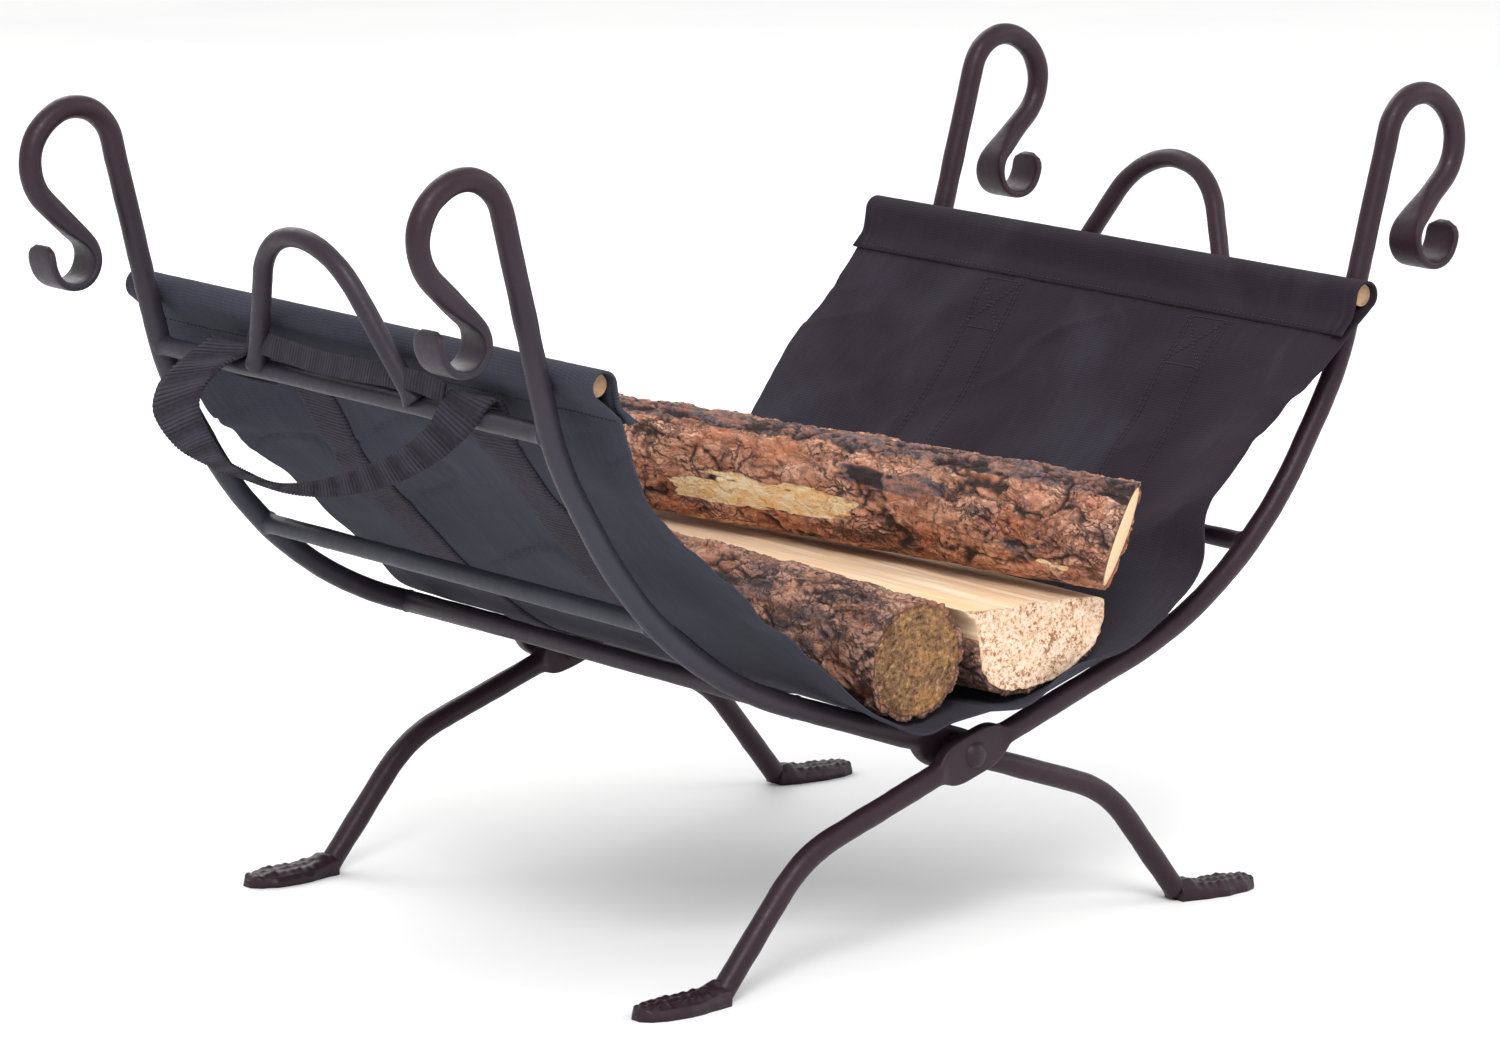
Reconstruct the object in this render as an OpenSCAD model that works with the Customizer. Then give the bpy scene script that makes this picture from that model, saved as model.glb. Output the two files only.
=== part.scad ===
// Firewood rack: two crossed wrought iron frames on a pivot, a canvas log
// carrier slung between them, and three logs lying in the carrier.
// X runs across the rack, Y along the logs (front is -Y), Z up, floor at z = 0.

/* [Frames] */
// Diameter of the round bar that the frames are forged from
bar_d = 12.7; // [11:0.1:13.5]
// Distance between a frame's front and back bars, centre to centre
frame_depth = 356; // [340:1:372]
// Distance between the two frames' bars where they cross at a pivot
lap_pitch = 18.8; // [18.4:0.1:20]
// Height of the pivot above the floor
pivot_h = 112; // [108:1:118]
// Slope of the bars where they cross at the pivot, in degrees
cross_angle = 18.8; // [18:0.1:19.4]
// Diameter of the cross rails
rail_d = 11; // [9:0.1:12]

/* [Crooks] */
// Length of the straight upright between the arm and the crook
upright_len = 112; // [100:1:125]
// Radius of the crook over the top of the upright
crook_r = 25; // [24:0.5:27]
// Width of the flattened scroll end
scroll_w = 24; // [18:1:28]
// Thickness of the flattened scroll end
scroll_t = 4.5; // [3:0.1:6]

/* [Handles] */
// Radius at the top of the arched handle
arch_r = 48; // [44:1:52]
// Length of the arched handle's straight legs
arch_leg = 68; // [60:1:76]
// Lean of the arched handle away from the logs, in degrees
arch_lean = 17; // [15:0.5:20]

/* [Feet] */
// Length of a foot plate from the ankle to its tip
foot_len = 50; // [40:1:60]
// Thickness of a foot plate
foot_t = 8; // [6:0.5:9]

/* [Pivots] */
// Thickness of the flattened lap at the pivot
lap_t = 9; // [7:0.1:9.5]
// Diameter of the pivot bolts
bolt_d = 8; // [6:0.1:9]
// Diameter of the domed bolt heads
head_d = 15; // [13:0.1:17]

/* [Carrier] */
// Width of the canvas along the logs
canvas_w = 408; // [400:1:412]
// Thickness of the doubled canvas
canvas_t = 2.5; // [1.5:0.1:2.6]
// Diameter of the wooden dowels in the hems
dowel_d = 12.7; // [11:0.1:13]
// Length of the wooden dowels
dowel_len = 416; // [410:1:420]
// Width of the webbing straps
webbing_w = 38; // [30:1:38]

/* [Logs] */
// Diameter over the bark of the top log
top_log_d = 66; // [60:1:68]
// Length of the top log
top_log_len = 457; // [440:1:457]
// Diameter over the bark of the lower log
lower_log_d = 70; // [60:1:71]
// Length of the lower log and of the split log
lower_log_len = 406; // [380:1:420]
// Thickness of the bark
bark_t = 4; // [2:0.5:6]

/* [Hidden] */
$fn = 64;
clear = 0.1;
seat = 0.5;
scroll_r = 15;
arm_straight = 122.7;
arm_bend_r = 240;
arm_bend = 40;
arm_flat = 29;
arm_top_r = 171;
arm_top_bend = 16.3;
leg_straight = 102.3;
leg_bend_r = 82;
leg_bend = 31.7;
leg_steep = 75;
lap_len = 58;
lap_w = 25;
lap_stop = 20;                       // where the round bar meets the lap
frame_shift = lap_pitch / 2;         // each frame sits this far off centre

// One piece of a forged path: [length or radius, turn in degrees].
arm_path = [
    [arm_straight - lap_stop, 0], [arm_bend_r, -arm_bend], [arm_flat, 0],
    [arm_top_r, -arm_top_bend], [upright_len, 0],
    [crook_r, 106], [2, 0], [crook_r + 4, 106], [32, 0], [scroll_r, -75]
];
leg_path = [[leg_straight - lap_stop, 0], [leg_bend_r, -leg_bend], [leg_steep, 0]];
scroll_turn = 115;

function dir(h) = [cos(h), sin(h)];
function step_to(p, h, s) = s[1] == 0
    ? p + s[0] * dir(h)
    : p + sign(s[1]) * s[0] * [sin(h + s[1]) - sin(h), cos(h) - cos(h + s[1])];
function walk(path, n, p, h, i = 0) = i == n
    ? [p, h] : walk(path, n, step_to(p, h, path[i]), h + path[i][1], i + 1);

arm_h = 180 - cross_angle;
arm_start = lap_stop * dir(arm_h);
leg_start = lap_stop * dir(-cross_angle);
leg_end = walk(leg_path, 3, leg_start, -cross_angle)[0];
upright_at = walk(arm_path, 4, arm_start, arm_h);
arm_bend_at = walk(arm_path, 1, arm_start, arm_h);

// Rails: [x, z, heading of the bar there], from the pivot.
function on_arc(at, r, turn) = [each step_to(at[0], at[1], [r, turn]), at[1] + turn];
low_rail = [each (112.5 * dir(arm_h)), arm_h];
mid_rail = on_arc(arm_bend_at, arm_bend_r, -24.9);
top_arc_at = walk(arm_path, 3, arm_start, arm_h);
top_rail = on_arc(top_arc_at, arm_top_r, -12.7);

arch_flare = 27;
arch_shift = 7;
arch_out = 2.5;                      // the arch stands this far outside the rail's axis
arch_base = arch_r * cos(arch_flare) + arch_leg * sin(arch_flare);
arch_y = frame_shift + arch_shift;

shank_len = lap_pitch + lap_t + 8.5;
nut_t = 6.5;
washer_t = 1.5;

sleeve_d = dowel_d + 4;
dowel_gap = bar_d / 2 + sleeve_d / 2 + 0.6;
dowel_at = upright_at[0] + 16 * dir(upright_at[1]) + dowel_gap * dir(upright_at[1] - 90);
left_dowel_y = 11;
right_dowel_y = -1;

// Canvas: an inner kink at the pivot, a run along the arm, then the belly up
// to the hem. Points are on the middle of the cloth, as distances outward.
cloth_lift = (bar_d / 2 + 1.5 + canvas_t / 2) / cos(cross_angle);
cloth_rest = 82;
pivot_lift = lap_w / 2 + 3.6 + canvas_t / 2;
rest_at = [cloth_rest, cloth_lift + cloth_rest * tan(cross_angle)];
hem_at = [-dowel_at[0] - 1.5, dowel_at[1] - sleeve_d / 2 + 0.8];
belly = 16;
belly_steps = 12;
function belly_pt(k) = let (u = k / belly_steps, d = hem_at - rest_at, n = [d[1], -d[0]] / norm(d))
    rest_at + u * d + 4 * belly * u * (1 - u) * n;
cloth_line = [
    [7, pivot_lift], [46, cloth_lift + 46 * tan(cross_angle)],
    for (k = [0:belly_steps]) belly_pt(k)
];
function normal(line, i) = let (
    a = line[max(i - 1, 0)], b = line[min(i + 1, len(line) - 1)], d = (b - a) / norm(b - a)
) [d[1], -d[0]];
function ribbon(line, lo, hi) = concat(
    [for (i = [0:len(line) - 1]) line[i] + hi * normal(line, i)],
    [for (i = [len(line) - 1:-1:0]) line[i] + lo * normal(line, i)]
);

strap_y = 88;
strap_t = 1.6;
loop_y = 102;
loop_drop = 55;
loop_r = (loop_y * loop_y + loop_drop * loop_drop) / (2 * loop_drop);
loop_turn = asin(loop_y / loop_r) + 1;
keeper_len = 158;
keeper_h = 22;

// Logs: axis positions as [x, z] from the pivot.
lower_log_at = [-41, 63];
top_log_at = [47, 115.8];
top_log_skew = 7;
split_outline = [
    [0, 48], [8, 36], [20, 31], [38, 31.5], [58, 36.5], [74, 43], [86, 51],
    [91, 62], [90, 79.5], [45, 82], [2, 82], [-3, 76]
];
split_bark_line = [[8, 36], [20, 31], [38, 31.5], [58, 36.5], [74, 43], [86, 51]];

iron = [0.22, 0.18, 0.19];
cloth = [0.2, 0.19, 0.23];
band = [0.16, 0.14, 0.16];
pale_wood = [0.86, 0.74, 0.54];
dark_wood = [0.5, 0.4, 0.26];
bark = [0.56, 0.38, 0.28];

module along_y(len) rotate([90, 0, 0]) linear_extrude(len, center = true) children();

// A straight or bent piece of bar, starting at the origin along +X. A straight
// piece is a hair slimmer and reaches a little way into its neighbours.
module bar_piece(s, d) {
    if (s[1] == 0)
        translate([-seat, 0, 0]) rotate([0, 90, 0]) cylinder(h = s[0] + 2 * seat, d = d - clear);
    else
        bend(s[0], s[1]) circle(d = d);
}

// Turns a cross-section along an arc of radius r, starting along +X.
module bend(r, turn)
    translate([0, 0, sign(turn) * r]) rotate([90, 0, 0])
        rotate([0, 0, turn > 0 ? -90 : 90 + turn])
            rotate_extrude(angle = abs(turn), $fn = 120) translate([r, 0]) children();

module place(p, h) translate([p[0], 0, p[1]]) rotate([0, -h, 0]) children();

module rod(path, p, h, d, i = 0)
    if (i < len(path)) {
        place(p, h) bar_piece(path[i], d);
        rod(path, step_to(p, h, path[i]), h + path[i][1], d, i + 1);
    }

module lap() {
    r = (lap_len * lap_len / 4 + lap_w * lap_w / 4) / lap_w;
    rotate([0, cross_angle, 0]) along_y(lap_t) intersection() {
        translate([0, r - lap_w / 2]) circle(r, $fn = 120);
        translate([0, lap_w / 2 - r]) circle(r, $fn = 120);
    }
}

module scroll_end() {
    at = walk(arm_path, len(arm_path), arm_start, arm_h);
    place(at[0], at[1]) {
        place(step_to([0, 0], 0, [-scroll_r, 4]), 4)
            bend(scroll_r, -scroll_turn - 4) square([scroll_t, scroll_w], center = true);
        place(step_to([0, 0], 0, [scroll_r, -scroll_turn]), -scroll_turn)
            intersection() {
                cylinder(h = scroll_t - clear, d = scroll_w - clear, center = true);
                translate([-seat, -scroll_w, -scroll_t]) cube([scroll_w, 2 * scroll_w, 2 * scroll_t]);
            }
    }
}

// One bar of a frame, its arm to -X and its leg to +X, about the pivot.
module frame_bar(y)
    color(iron) translate([0, y, pivot_h]) difference() {
        union() {
            rod(arm_path, arm_start, arm_h, bar_d);
            scroll_end();
            lap();
            rod(leg_path, leg_start, -cross_angle, bar_d);
        }
        rotate([90, 0, 0]) cylinder(h = 3 * lap_t, d = bolt_d + 0.4, center = true);
        translate([leg_end[0] - 40, -20, foot_t - pivot_h - 40]) cube([80, 40, 40]);
    }

front_y = frame_shift - frame_depth / 2;
back_y = frame_shift + frame_depth / 2;

module rail(at)
    color(iron) translate([at[0], frame_shift, pivot_h + at[1]]) difference() {
        rotate([90, 0, 0]) cylinder(h = frame_depth, d = rail_d, center = true);
        for (y = [-1, 1] * frame_depth / 2)
            translate([0, y, 0]) rotate([0, -at[2], 0]) rotate([0, 90, 0])
                cylinder(h = 60, d = bar_d + clear, center = true);
    }

// The arched handle stands on the top rail, leaning outward.
module arch_handle()
    color(iron) translate([top_rail[0], arch_y, pivot_h + top_rail[1]]) difference() {
        translate([-arch_out, 0, 0]) rotate([0, -arch_lean, 0]) {
            for (s = [-1, 1])
                translate([0, s * arch_base, 0]) rotate([s * arch_flare, 0, 0])
                    cylinder(h = arch_leg + seat, d = rail_d - clear);
            translate([0, 0, arch_leg * cos(arch_flare) - arch_r * sin(arch_flare)])
                rotate([90, 0, 90]) rotate([0, 0, arch_flare])
                    rotate_extrude(angle = 180 - 2 * arch_flare, $fn = 120)
                        translate([arch_r, 0]) circle(d = rail_d);
        }
        rotate([90, 0, 0]) cylinder(h = frame_depth, d = rail_d + clear, center = true);
    }

// A leaf-shaped foot, pointing outward along +X from the ankle.
module foot(y)
    color(iron) translate([leg_end[0], y, 0]) linear_extrude(foot_t) {
        polygon([
            [-9, -8], [-2, -10], [8, -12], [foot_len * 0.45, -14], [foot_len * 0.75, -12.5],
            [foot_len - 9, -9], [foot_len - 9, 9], [foot_len * 0.75, 12.5],
            [foot_len * 0.45, 14], [8, 12], [-2, 10], [-9, 8]
        ]);
        translate([foot_len - 9, 0]) circle(9);
    }

module turned(on) rotate([0, 0, on ? 180 : 0]) children();

// Pivot hardware, on the -Y side; the back set is the same turned half a turn.
head_y = -frame_depth / 2 - lap_pitch / 2 - lap_t / 2;
inner_y = head_y + lap_pitch + lap_t;

module pivot_bolt()
    color(iron) translate([0, head_y, pivot_h]) rotate([-90, 0, 0]) {
        cylinder(h = shank_len, d = bolt_d);
        intersection() {
            translate([0, 0, head_d * 0.35]) sphere(d = head_d * 1.22);
            translate([0, 0, -head_d]) cylinder(h = head_d, d = head_d);
        }
    }

module pivot_spacer()
    color(iron) translate([0, head_y + lap_t + clear / 2, pivot_h]) rotate([-90, 0, 0])
        difference() {
            cylinder(h = lap_pitch - lap_t - clear, d = 19);
            translate([0, 0, -1]) cylinder(h = lap_pitch, d = bolt_d + 0.4);
        }

module pivot_washer()
    color(iron) translate([0, inner_y, pivot_h]) rotate([-90, 0, 0]) difference() {
        cylinder(h = washer_t, d = 18);
        translate([0, 0, -1]) cylinder(h = washer_t + 2, d = bolt_d + 0.4);
    }

module pivot_nut()
    color(iron) translate([0, inner_y + washer_t, pivot_h]) rotate([-90, 0, 0]) difference() {
        cylinder(h = nut_t, d = 15, $fn = 6);
        translate([0, 0, -1]) cylinder(h = nut_t + 2, d = bolt_d + 0.1);
    }

// Right-hand half of the carrier, from beside the pivot out to the hem sleeve.
module canvas_panel(y)
    color(cloth) translate([0, y, pivot_h]) difference() {
        union() {
            along_y(canvas_w) polygon(ribbon(cloth_line, -canvas_t / 2, canvas_t / 2));
            translate([-dowel_at[0], 0, dowel_at[1]]) rotate([90, 0, 0])
                cylinder(h = canvas_w, d = sleeve_d, center = true);
        }
        translate([-dowel_at[0], 0, dowel_at[1]]) rotate([90, 0, 0])
            cylinder(h = canvas_w + 2, d = dowel_d + 0.4, center = true);
    }

module dowel(y)
    color(pale_wood) translate([-dowel_at[0], y, pivot_h + dowel_at[1]]) rotate([90, 0, 0])
        cylinder(h = dowel_len, d = dowel_d, center = true);

strap_line = [for (i = [1:len(cloth_line) - 3]) cloth_line[i]];
strap_gap = canvas_t / 2 + clear;

module strap(y)
    color(band) translate([0, y, pivot_h]) along_y(webbing_w)
        polygon(ribbon(strap_line, strap_gap, strap_gap + strap_t));

// Webbing handle of the right-hand end: it passes over the top rail on both
// sides of the arched handle and hangs outside in a loop.
module webbing_handle()
    color(band) translate([-top_rail[0], -arch_y, pivot_h + top_rail[1]]) {
        for (s = [-1, 1])
            translate([-4, s * loop_y - webbing_w / 2, rail_d / 2 + 1]) cube([44, webbing_w, 2]);
        translate([8, 0, loop_r - loop_drop + rail_d / 2 + 2]) rotate([0, 90, 0])
            rotate([0, 0, -loop_turn])
                rotate_extrude(angle = 2 * loop_turn, $fn = 180)
                    translate([loop_r, 0]) square([2, 30]);
    }

module keeper_strap()
    color(band) translate([-top_rail[0], -arch_y, pivot_h + top_rail[1]])
        rotate([0, arch_lean, 0])
            translate([arch_out + rail_d / 2 + 0.7, -keeper_len / 2, -4])
                cube([2, keeper_len, keeper_h]);

module log_at(at, y, skew = 0)
    translate([at[0], y, pivot_h + at[1]]) rotate([90, 0, skew]) children();

module log_wood(len, d, c) color(c) cylinder(h = len, d = d - 2 * bark_t - clear, center = true);
module log_bark(len, d) color(bark) difference() {
    cylinder(h = len - 2, d = d, center = true);
    cylinder(h = len, d = d - 2 * bark_t, center = true);
}

lower_y = 8;

frame_bar(front_y);  // left_front_bar
frame_bar(back_y);  // left_back_bar
rail(top_rail);  // left_top_rail
rail(mid_rail);  // left_middle_rail
rail(low_rail);  // left_lower_rail
arch_handle();  // left_arch_handle
foot(front_y);  // right_front_foot
foot(back_y);  // right_back_foot
turned(true) frame_bar(back_y);  // right_front_bar
turned(true) frame_bar(front_y);  // right_back_bar
turned(true) rail(top_rail);  // right_top_rail
turned(true) rail(mid_rail);  // right_middle_rail
turned(true) rail(low_rail);  // right_lower_rail
turned(true) arch_handle();  // right_arch_handle
turned(true) foot(back_y);  // left_front_foot
turned(true) foot(front_y);  // left_back_foot
pivot_bolt();  // front_pivot_bolt
pivot_spacer();  // front_pivot_spacer
pivot_washer();  // front_pivot_washer
pivot_nut();  // front_pivot_nut
turned(true) pivot_bolt();  // back_pivot_bolt
turned(true) pivot_spacer();  // back_pivot_spacer
turned(true) pivot_washer();  // back_pivot_washer
turned(true) pivot_nut();  // back_pivot_nut
turned(true) canvas_panel(-4);  // left_canvas_panel
canvas_panel(4);  // right_canvas_panel
turned(true) dowel(-left_dowel_y);  // left_dowel
dowel(right_dowel_y);  // right_dowel
turned(true) strap(strap_y - arch_y);  // left_front_strap
turned(true) strap(-strap_y - arch_y);  // left_back_strap
strap(-strap_y - arch_y);  // right_front_strap
strap(strap_y - arch_y);  // right_back_strap
turned(true) webbing_handle();  // left_webbing_handle
webbing_handle();  // right_webbing_handle
turned(true) keeper_strap();  // left_keeper_strap
keeper_strap();  // right_keeper_strap
log_at(top_log_at, 0, top_log_skew) log_wood(top_log_len, top_log_d, pale_wood);  // top_log_wood
log_at(top_log_at, 0, top_log_skew) log_bark(top_log_len, top_log_d);  // top_log_bark
log_at(lower_log_at, lower_y) log_wood(lower_log_len, lower_log_d, dark_wood);  // lower_log_wood
log_at(lower_log_at, lower_y) log_bark(lower_log_len, lower_log_d);  // lower_log_bark
color(pale_wood) translate([0, lower_y, pivot_h]) along_y(lower_log_len) polygon(split_outline);  // split_log_wood
color(bark) translate([0, lower_y, pivot_h]) along_y(lower_log_len - 2)  // split_log_bark
        polygon(ribbon(split_bark_line, clear, 3));
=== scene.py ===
"""Firewood logs in a folding wrought iron rack with a canvas carrier.

X runs across the rack, Y along the logs (the front is -Y) and Z up from the floor.
Working sizes are millimetres; a mesh is made in metres.
"""

import math

import bmesh
import bpy
import numpy as np
from mathutils import Matrix, Vector


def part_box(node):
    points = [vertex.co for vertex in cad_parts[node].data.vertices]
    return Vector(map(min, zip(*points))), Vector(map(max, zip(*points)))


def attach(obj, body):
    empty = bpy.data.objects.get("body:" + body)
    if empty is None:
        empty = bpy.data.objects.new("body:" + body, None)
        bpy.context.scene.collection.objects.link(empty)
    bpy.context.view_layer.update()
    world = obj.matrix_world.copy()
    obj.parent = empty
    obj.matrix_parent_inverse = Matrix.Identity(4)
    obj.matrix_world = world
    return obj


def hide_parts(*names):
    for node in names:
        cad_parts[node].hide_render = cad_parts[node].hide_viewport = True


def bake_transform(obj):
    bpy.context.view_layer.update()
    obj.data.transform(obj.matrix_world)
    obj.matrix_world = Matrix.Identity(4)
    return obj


bl_info = {
    "name": "Firewood Log Rack",
    "version": (1, 0, 0),
    "blender": (4, 5, 0),
    "location": "View3D > Sidebar > Log Rack",
    "description": "Logs in a canvas carrier slung between two forged iron frames",
    "category": "Add Mesh",
}

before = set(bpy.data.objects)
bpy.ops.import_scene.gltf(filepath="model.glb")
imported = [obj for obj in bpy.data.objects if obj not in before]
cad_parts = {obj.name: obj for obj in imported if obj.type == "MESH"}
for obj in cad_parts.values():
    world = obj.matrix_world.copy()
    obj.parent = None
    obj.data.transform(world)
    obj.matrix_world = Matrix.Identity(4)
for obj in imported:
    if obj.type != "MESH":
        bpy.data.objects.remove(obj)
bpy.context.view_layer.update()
MM = 0.001


def node_box(node):
    """Lowest and highest corner of a CAD node, in millimetres."""
    low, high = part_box(node)
    return np.array(low) / MM, np.array(high) / MM


def node_centre(node):
    low, high = node_box(node)
    return (low + high) / 2


PIVOT_Z = node_centre("front_pivot_nut")[2]
SIDES = {"left": -1, "right": 1}


# ---------------------------------------------------------------- noise

# Large odd multipliers that scatter neighbouring cells and seeds.
CELL_PRIMES = tuple(np.uint64(n) for n in (73856093, 19349663, 83492791))
SEED_PRIME = 2654435761
MIX_PRIMES = ((np.uint64(15), np.uint64(2246822519)), (np.uint64(13), np.uint64(3266489917)))
LAST_BITS = np.uint64(0xFFFF)


def lattice(cell, seed):
    """Repeatable numbers from 0 to 1, one for each whole-numbered cell."""
    c = np.atleast_2d(cell).astype(np.int64).astype(np.uint64)
    h = c[..., 0] * CELL_PRIMES[0] ^ c[..., 1] * CELL_PRIMES[1]
    h = h ^ c[..., 2] * CELL_PRIMES[2] ^ np.uint64(seed * SEED_PRIME + 97)
    for shift, prime in MIX_PRIMES:
        h = (h ^ (h >> shift)) * prime
    return ((h >> np.uint64(16)) & LAST_BITS).astype(float) / float(LAST_BITS)


def smooth(t):
    t = np.clip(t, 0.0, 1.0)
    return t * t * (3 - 2 * t)


def noise(p, size, seed=0):
    """Smooth noise from -1 to 1 whose lumps are about size millimetres, alike or per axis."""
    q = np.asarray(p, float) / np.asarray(size, float)
    base = np.floor(q)
    f = smooth(q - base)
    total = 0.0
    for corner in np.ndindex(2, 2, 2):
        weight = np.prod(np.where(corner, f, 1 - f), axis=-1)
        total = total + weight * lattice(base + np.array(corner), seed)
    return total * 2 - 1


def layered(p, size, seed=0, layers=3):
    """Noise with finer and fainter layers on top of each other."""
    total, strength, norm = 0.0, 1.0, 0.0
    size = np.asarray(size, float)
    for i in range(layers):
        total = total + strength * noise(p, size, seed + i)
        norm += strength
        strength *= 0.55
        size = size / 2.1
    return total / norm


def plates(p, size, seed=0):
    """Cracked plates: how far inside its plate a point is (0 at a crack), and the plate's own number."""
    q = np.asarray(p, float) / np.asarray(size, float)
    base = np.floor(q)
    first = np.full(q.shape[:-1], 9.0)
    second = first.copy()
    own = np.zeros_like(first)
    for step in np.ndindex(3, 3, 3):
        cell = base + np.array(step) - 1
        centre = cell + np.stack([lattice(cell, seed + k) for k in (1, 2, 3)], -1)
        d = np.linalg.norm(q - centre, axis=-1)
        nearer = d < first
        second = np.where(nearer, first, np.minimum(second, d))
        own = np.where(nearer, lattice(cell, seed + 4), own)
        first = np.where(nearer, d, first)
    return second - first, own


# ---------------------------------------------------------------- mesh tools

def quads(rows, cols, wrap=False):
    """Faces of a grid of points; wrap closes each row on itself."""
    last = cols if wrap else cols - 1
    i, j = np.meshgrid(np.arange(rows - 1), np.arange(last), indexing="ij")
    k = (j + 1) % cols
    out = np.stack([i * cols + j, i * cols + k, (i + 1) * cols + k, (i + 1) * cols + j], -1)
    return out.reshape(-1, 4).tolist()


def slab_faces(rows, cols):
    """Faces of a closed slab made of two grids of points, one after the other, joined round their rim."""
    count = rows * cols
    rim = [i * cols for i in range(rows)] + [(rows - 1) * cols + j for j in range(1, cols)]
    rim += [i * cols + cols - 1 for i in range(rows - 2, -1, -1)] + list(range(cols - 2, 0, -1))
    walls = [[a, b, b + count, a + count] for a, b in zip(rim, rim[1:] + rim[:1])]
    return quads(rows, cols) + (np.array(quads(rows, cols)) + count).tolist() + walls


def make(name, points, faces, material, body=None, replaces=(), closed=True):
    """A mesh piece from points in millimetres; it rides on body if one is given."""
    mesh = bpy.data.meshes.new(name)
    mesh.from_pydata((np.asarray(points, float).reshape(-1, 3) * MM).tolist(), [], faces)
    if closed:
        bm = bmesh.new()
        bm.from_mesh(mesh)
        bmesh.ops.recalc_face_normals(bm, faces=bm.faces)
        bm.to_mesh(mesh)
        bm.free()
    mesh.polygons.foreach_set("use_smooth", [True] * len(mesh.polygons))
    mesh.materials.append(material)
    piece = bpy.data.objects.new(name, mesh)
    bpy.context.scene.collection.objects.link(piece)
    if body:
        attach(piece, body)
    if replaces:
        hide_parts(*replaces)
    return piece


def give(piece, name, values):
    """Stores one number per point, which a material reads."""
    attribute = piece.data.attributes.new(name, "FLOAT", "POINT")
    attribute.data.foreach_set("value", np.asarray(values, np.float32).ravel())


def lay_uv(piece, uv):
    """A flat pattern for a sheet, in metres, from one pair of millimetres per point."""
    layer = piece.data.uv_layers.new(name="flat")
    index = np.zeros(len(piece.data.loops), np.int32)
    piece.data.loops.foreach_get("vertex_index", index)
    layer.data.foreach_set("uv", (np.asarray(uv, float).reshape(-1, 2)[index] * MM).ravel())


def unit(v):
    return v / np.maximum(np.linalg.norm(v, axis=-1, keepdims=True), 1e-9)


def curve_through(points, count):
    """count points, evenly spaced, on a smooth curve through the given ones."""
    p = np.asarray(points, float)
    p = np.vstack([2 * p[0] - p[1], p, 2 * p[-1] - p[-2]])
    fine = []
    for a, b, c, d in zip(p, p[1:], p[2:], p[3:]):
        t = np.linspace(0, 1, 24, endpoint=False)[:, None]
        fine.append(0.5 * (2 * b + (c - a) * t + (2 * a - 5 * b + 4 * c - d) * t**2
                           + (3 * b - a - 3 * c + d) * t**3))
    fine = np.vstack(fine + [p[-2:-1]])
    run = np.concatenate([[0], np.cumsum(np.linalg.norm(np.diff(fine, axis=0), axis=1))])
    at = np.linspace(0, run[-1], count)
    return np.stack([np.interp(at, run, fine[:, k]) for k in range(p.shape[1])], -1)


def ring_tube(centre, across, up, half_across, half_up, square, sides):
    """Rings of points round a line: half sizes and squareness (2 is round) may change along it."""
    turn = np.linspace(0, 2 * math.pi, sides, endpoint=False)
    c, s = np.cos(turn), np.sin(turn)
    power = (2 / np.asarray(square, float))[:, None]
    x = np.sign(c) * np.abs(c) ** power * np.asarray(half_across)[:, None]
    y = np.sign(s) * np.abs(s) ** power * np.asarray(half_up)[:, None]
    return centre[:, None] + x[..., None] * across[:, None] + y[..., None] * up[:, None]


def tube_faces(rings, sides):
    ends = [list(range(sides)), [(rings - 1) * sides + k for k in range(sides)]]
    return quads(rings, sides, wrap=True) + ends


def hammered(points, centre, depth=0.22):
    """Forging marks: shallow dents that push a bar's surface in and out."""
    out = unit(points - centre)
    dents = noise(points, 13, 5) + 0.5 * noise(points, 5, 9)
    return points + out * (depth * dents)[..., None]


# ---------------------------------------------------------------- materials

def shade(tree, kind, inputs=None, **settings):
    """Adds a shader node. An input that is a socket is linked; any other value is set."""
    node = tree.nodes.new(kind)
    for key, value in settings.items():
        setattr(node, key, value)
    for key, value in (inputs or {}).items():
        socket = node.inputs[key]
        if isinstance(value, bpy.types.NodeSocket):
            tree.links.new(value, socket)
        else:
            socket.default_value = value
    return node


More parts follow.
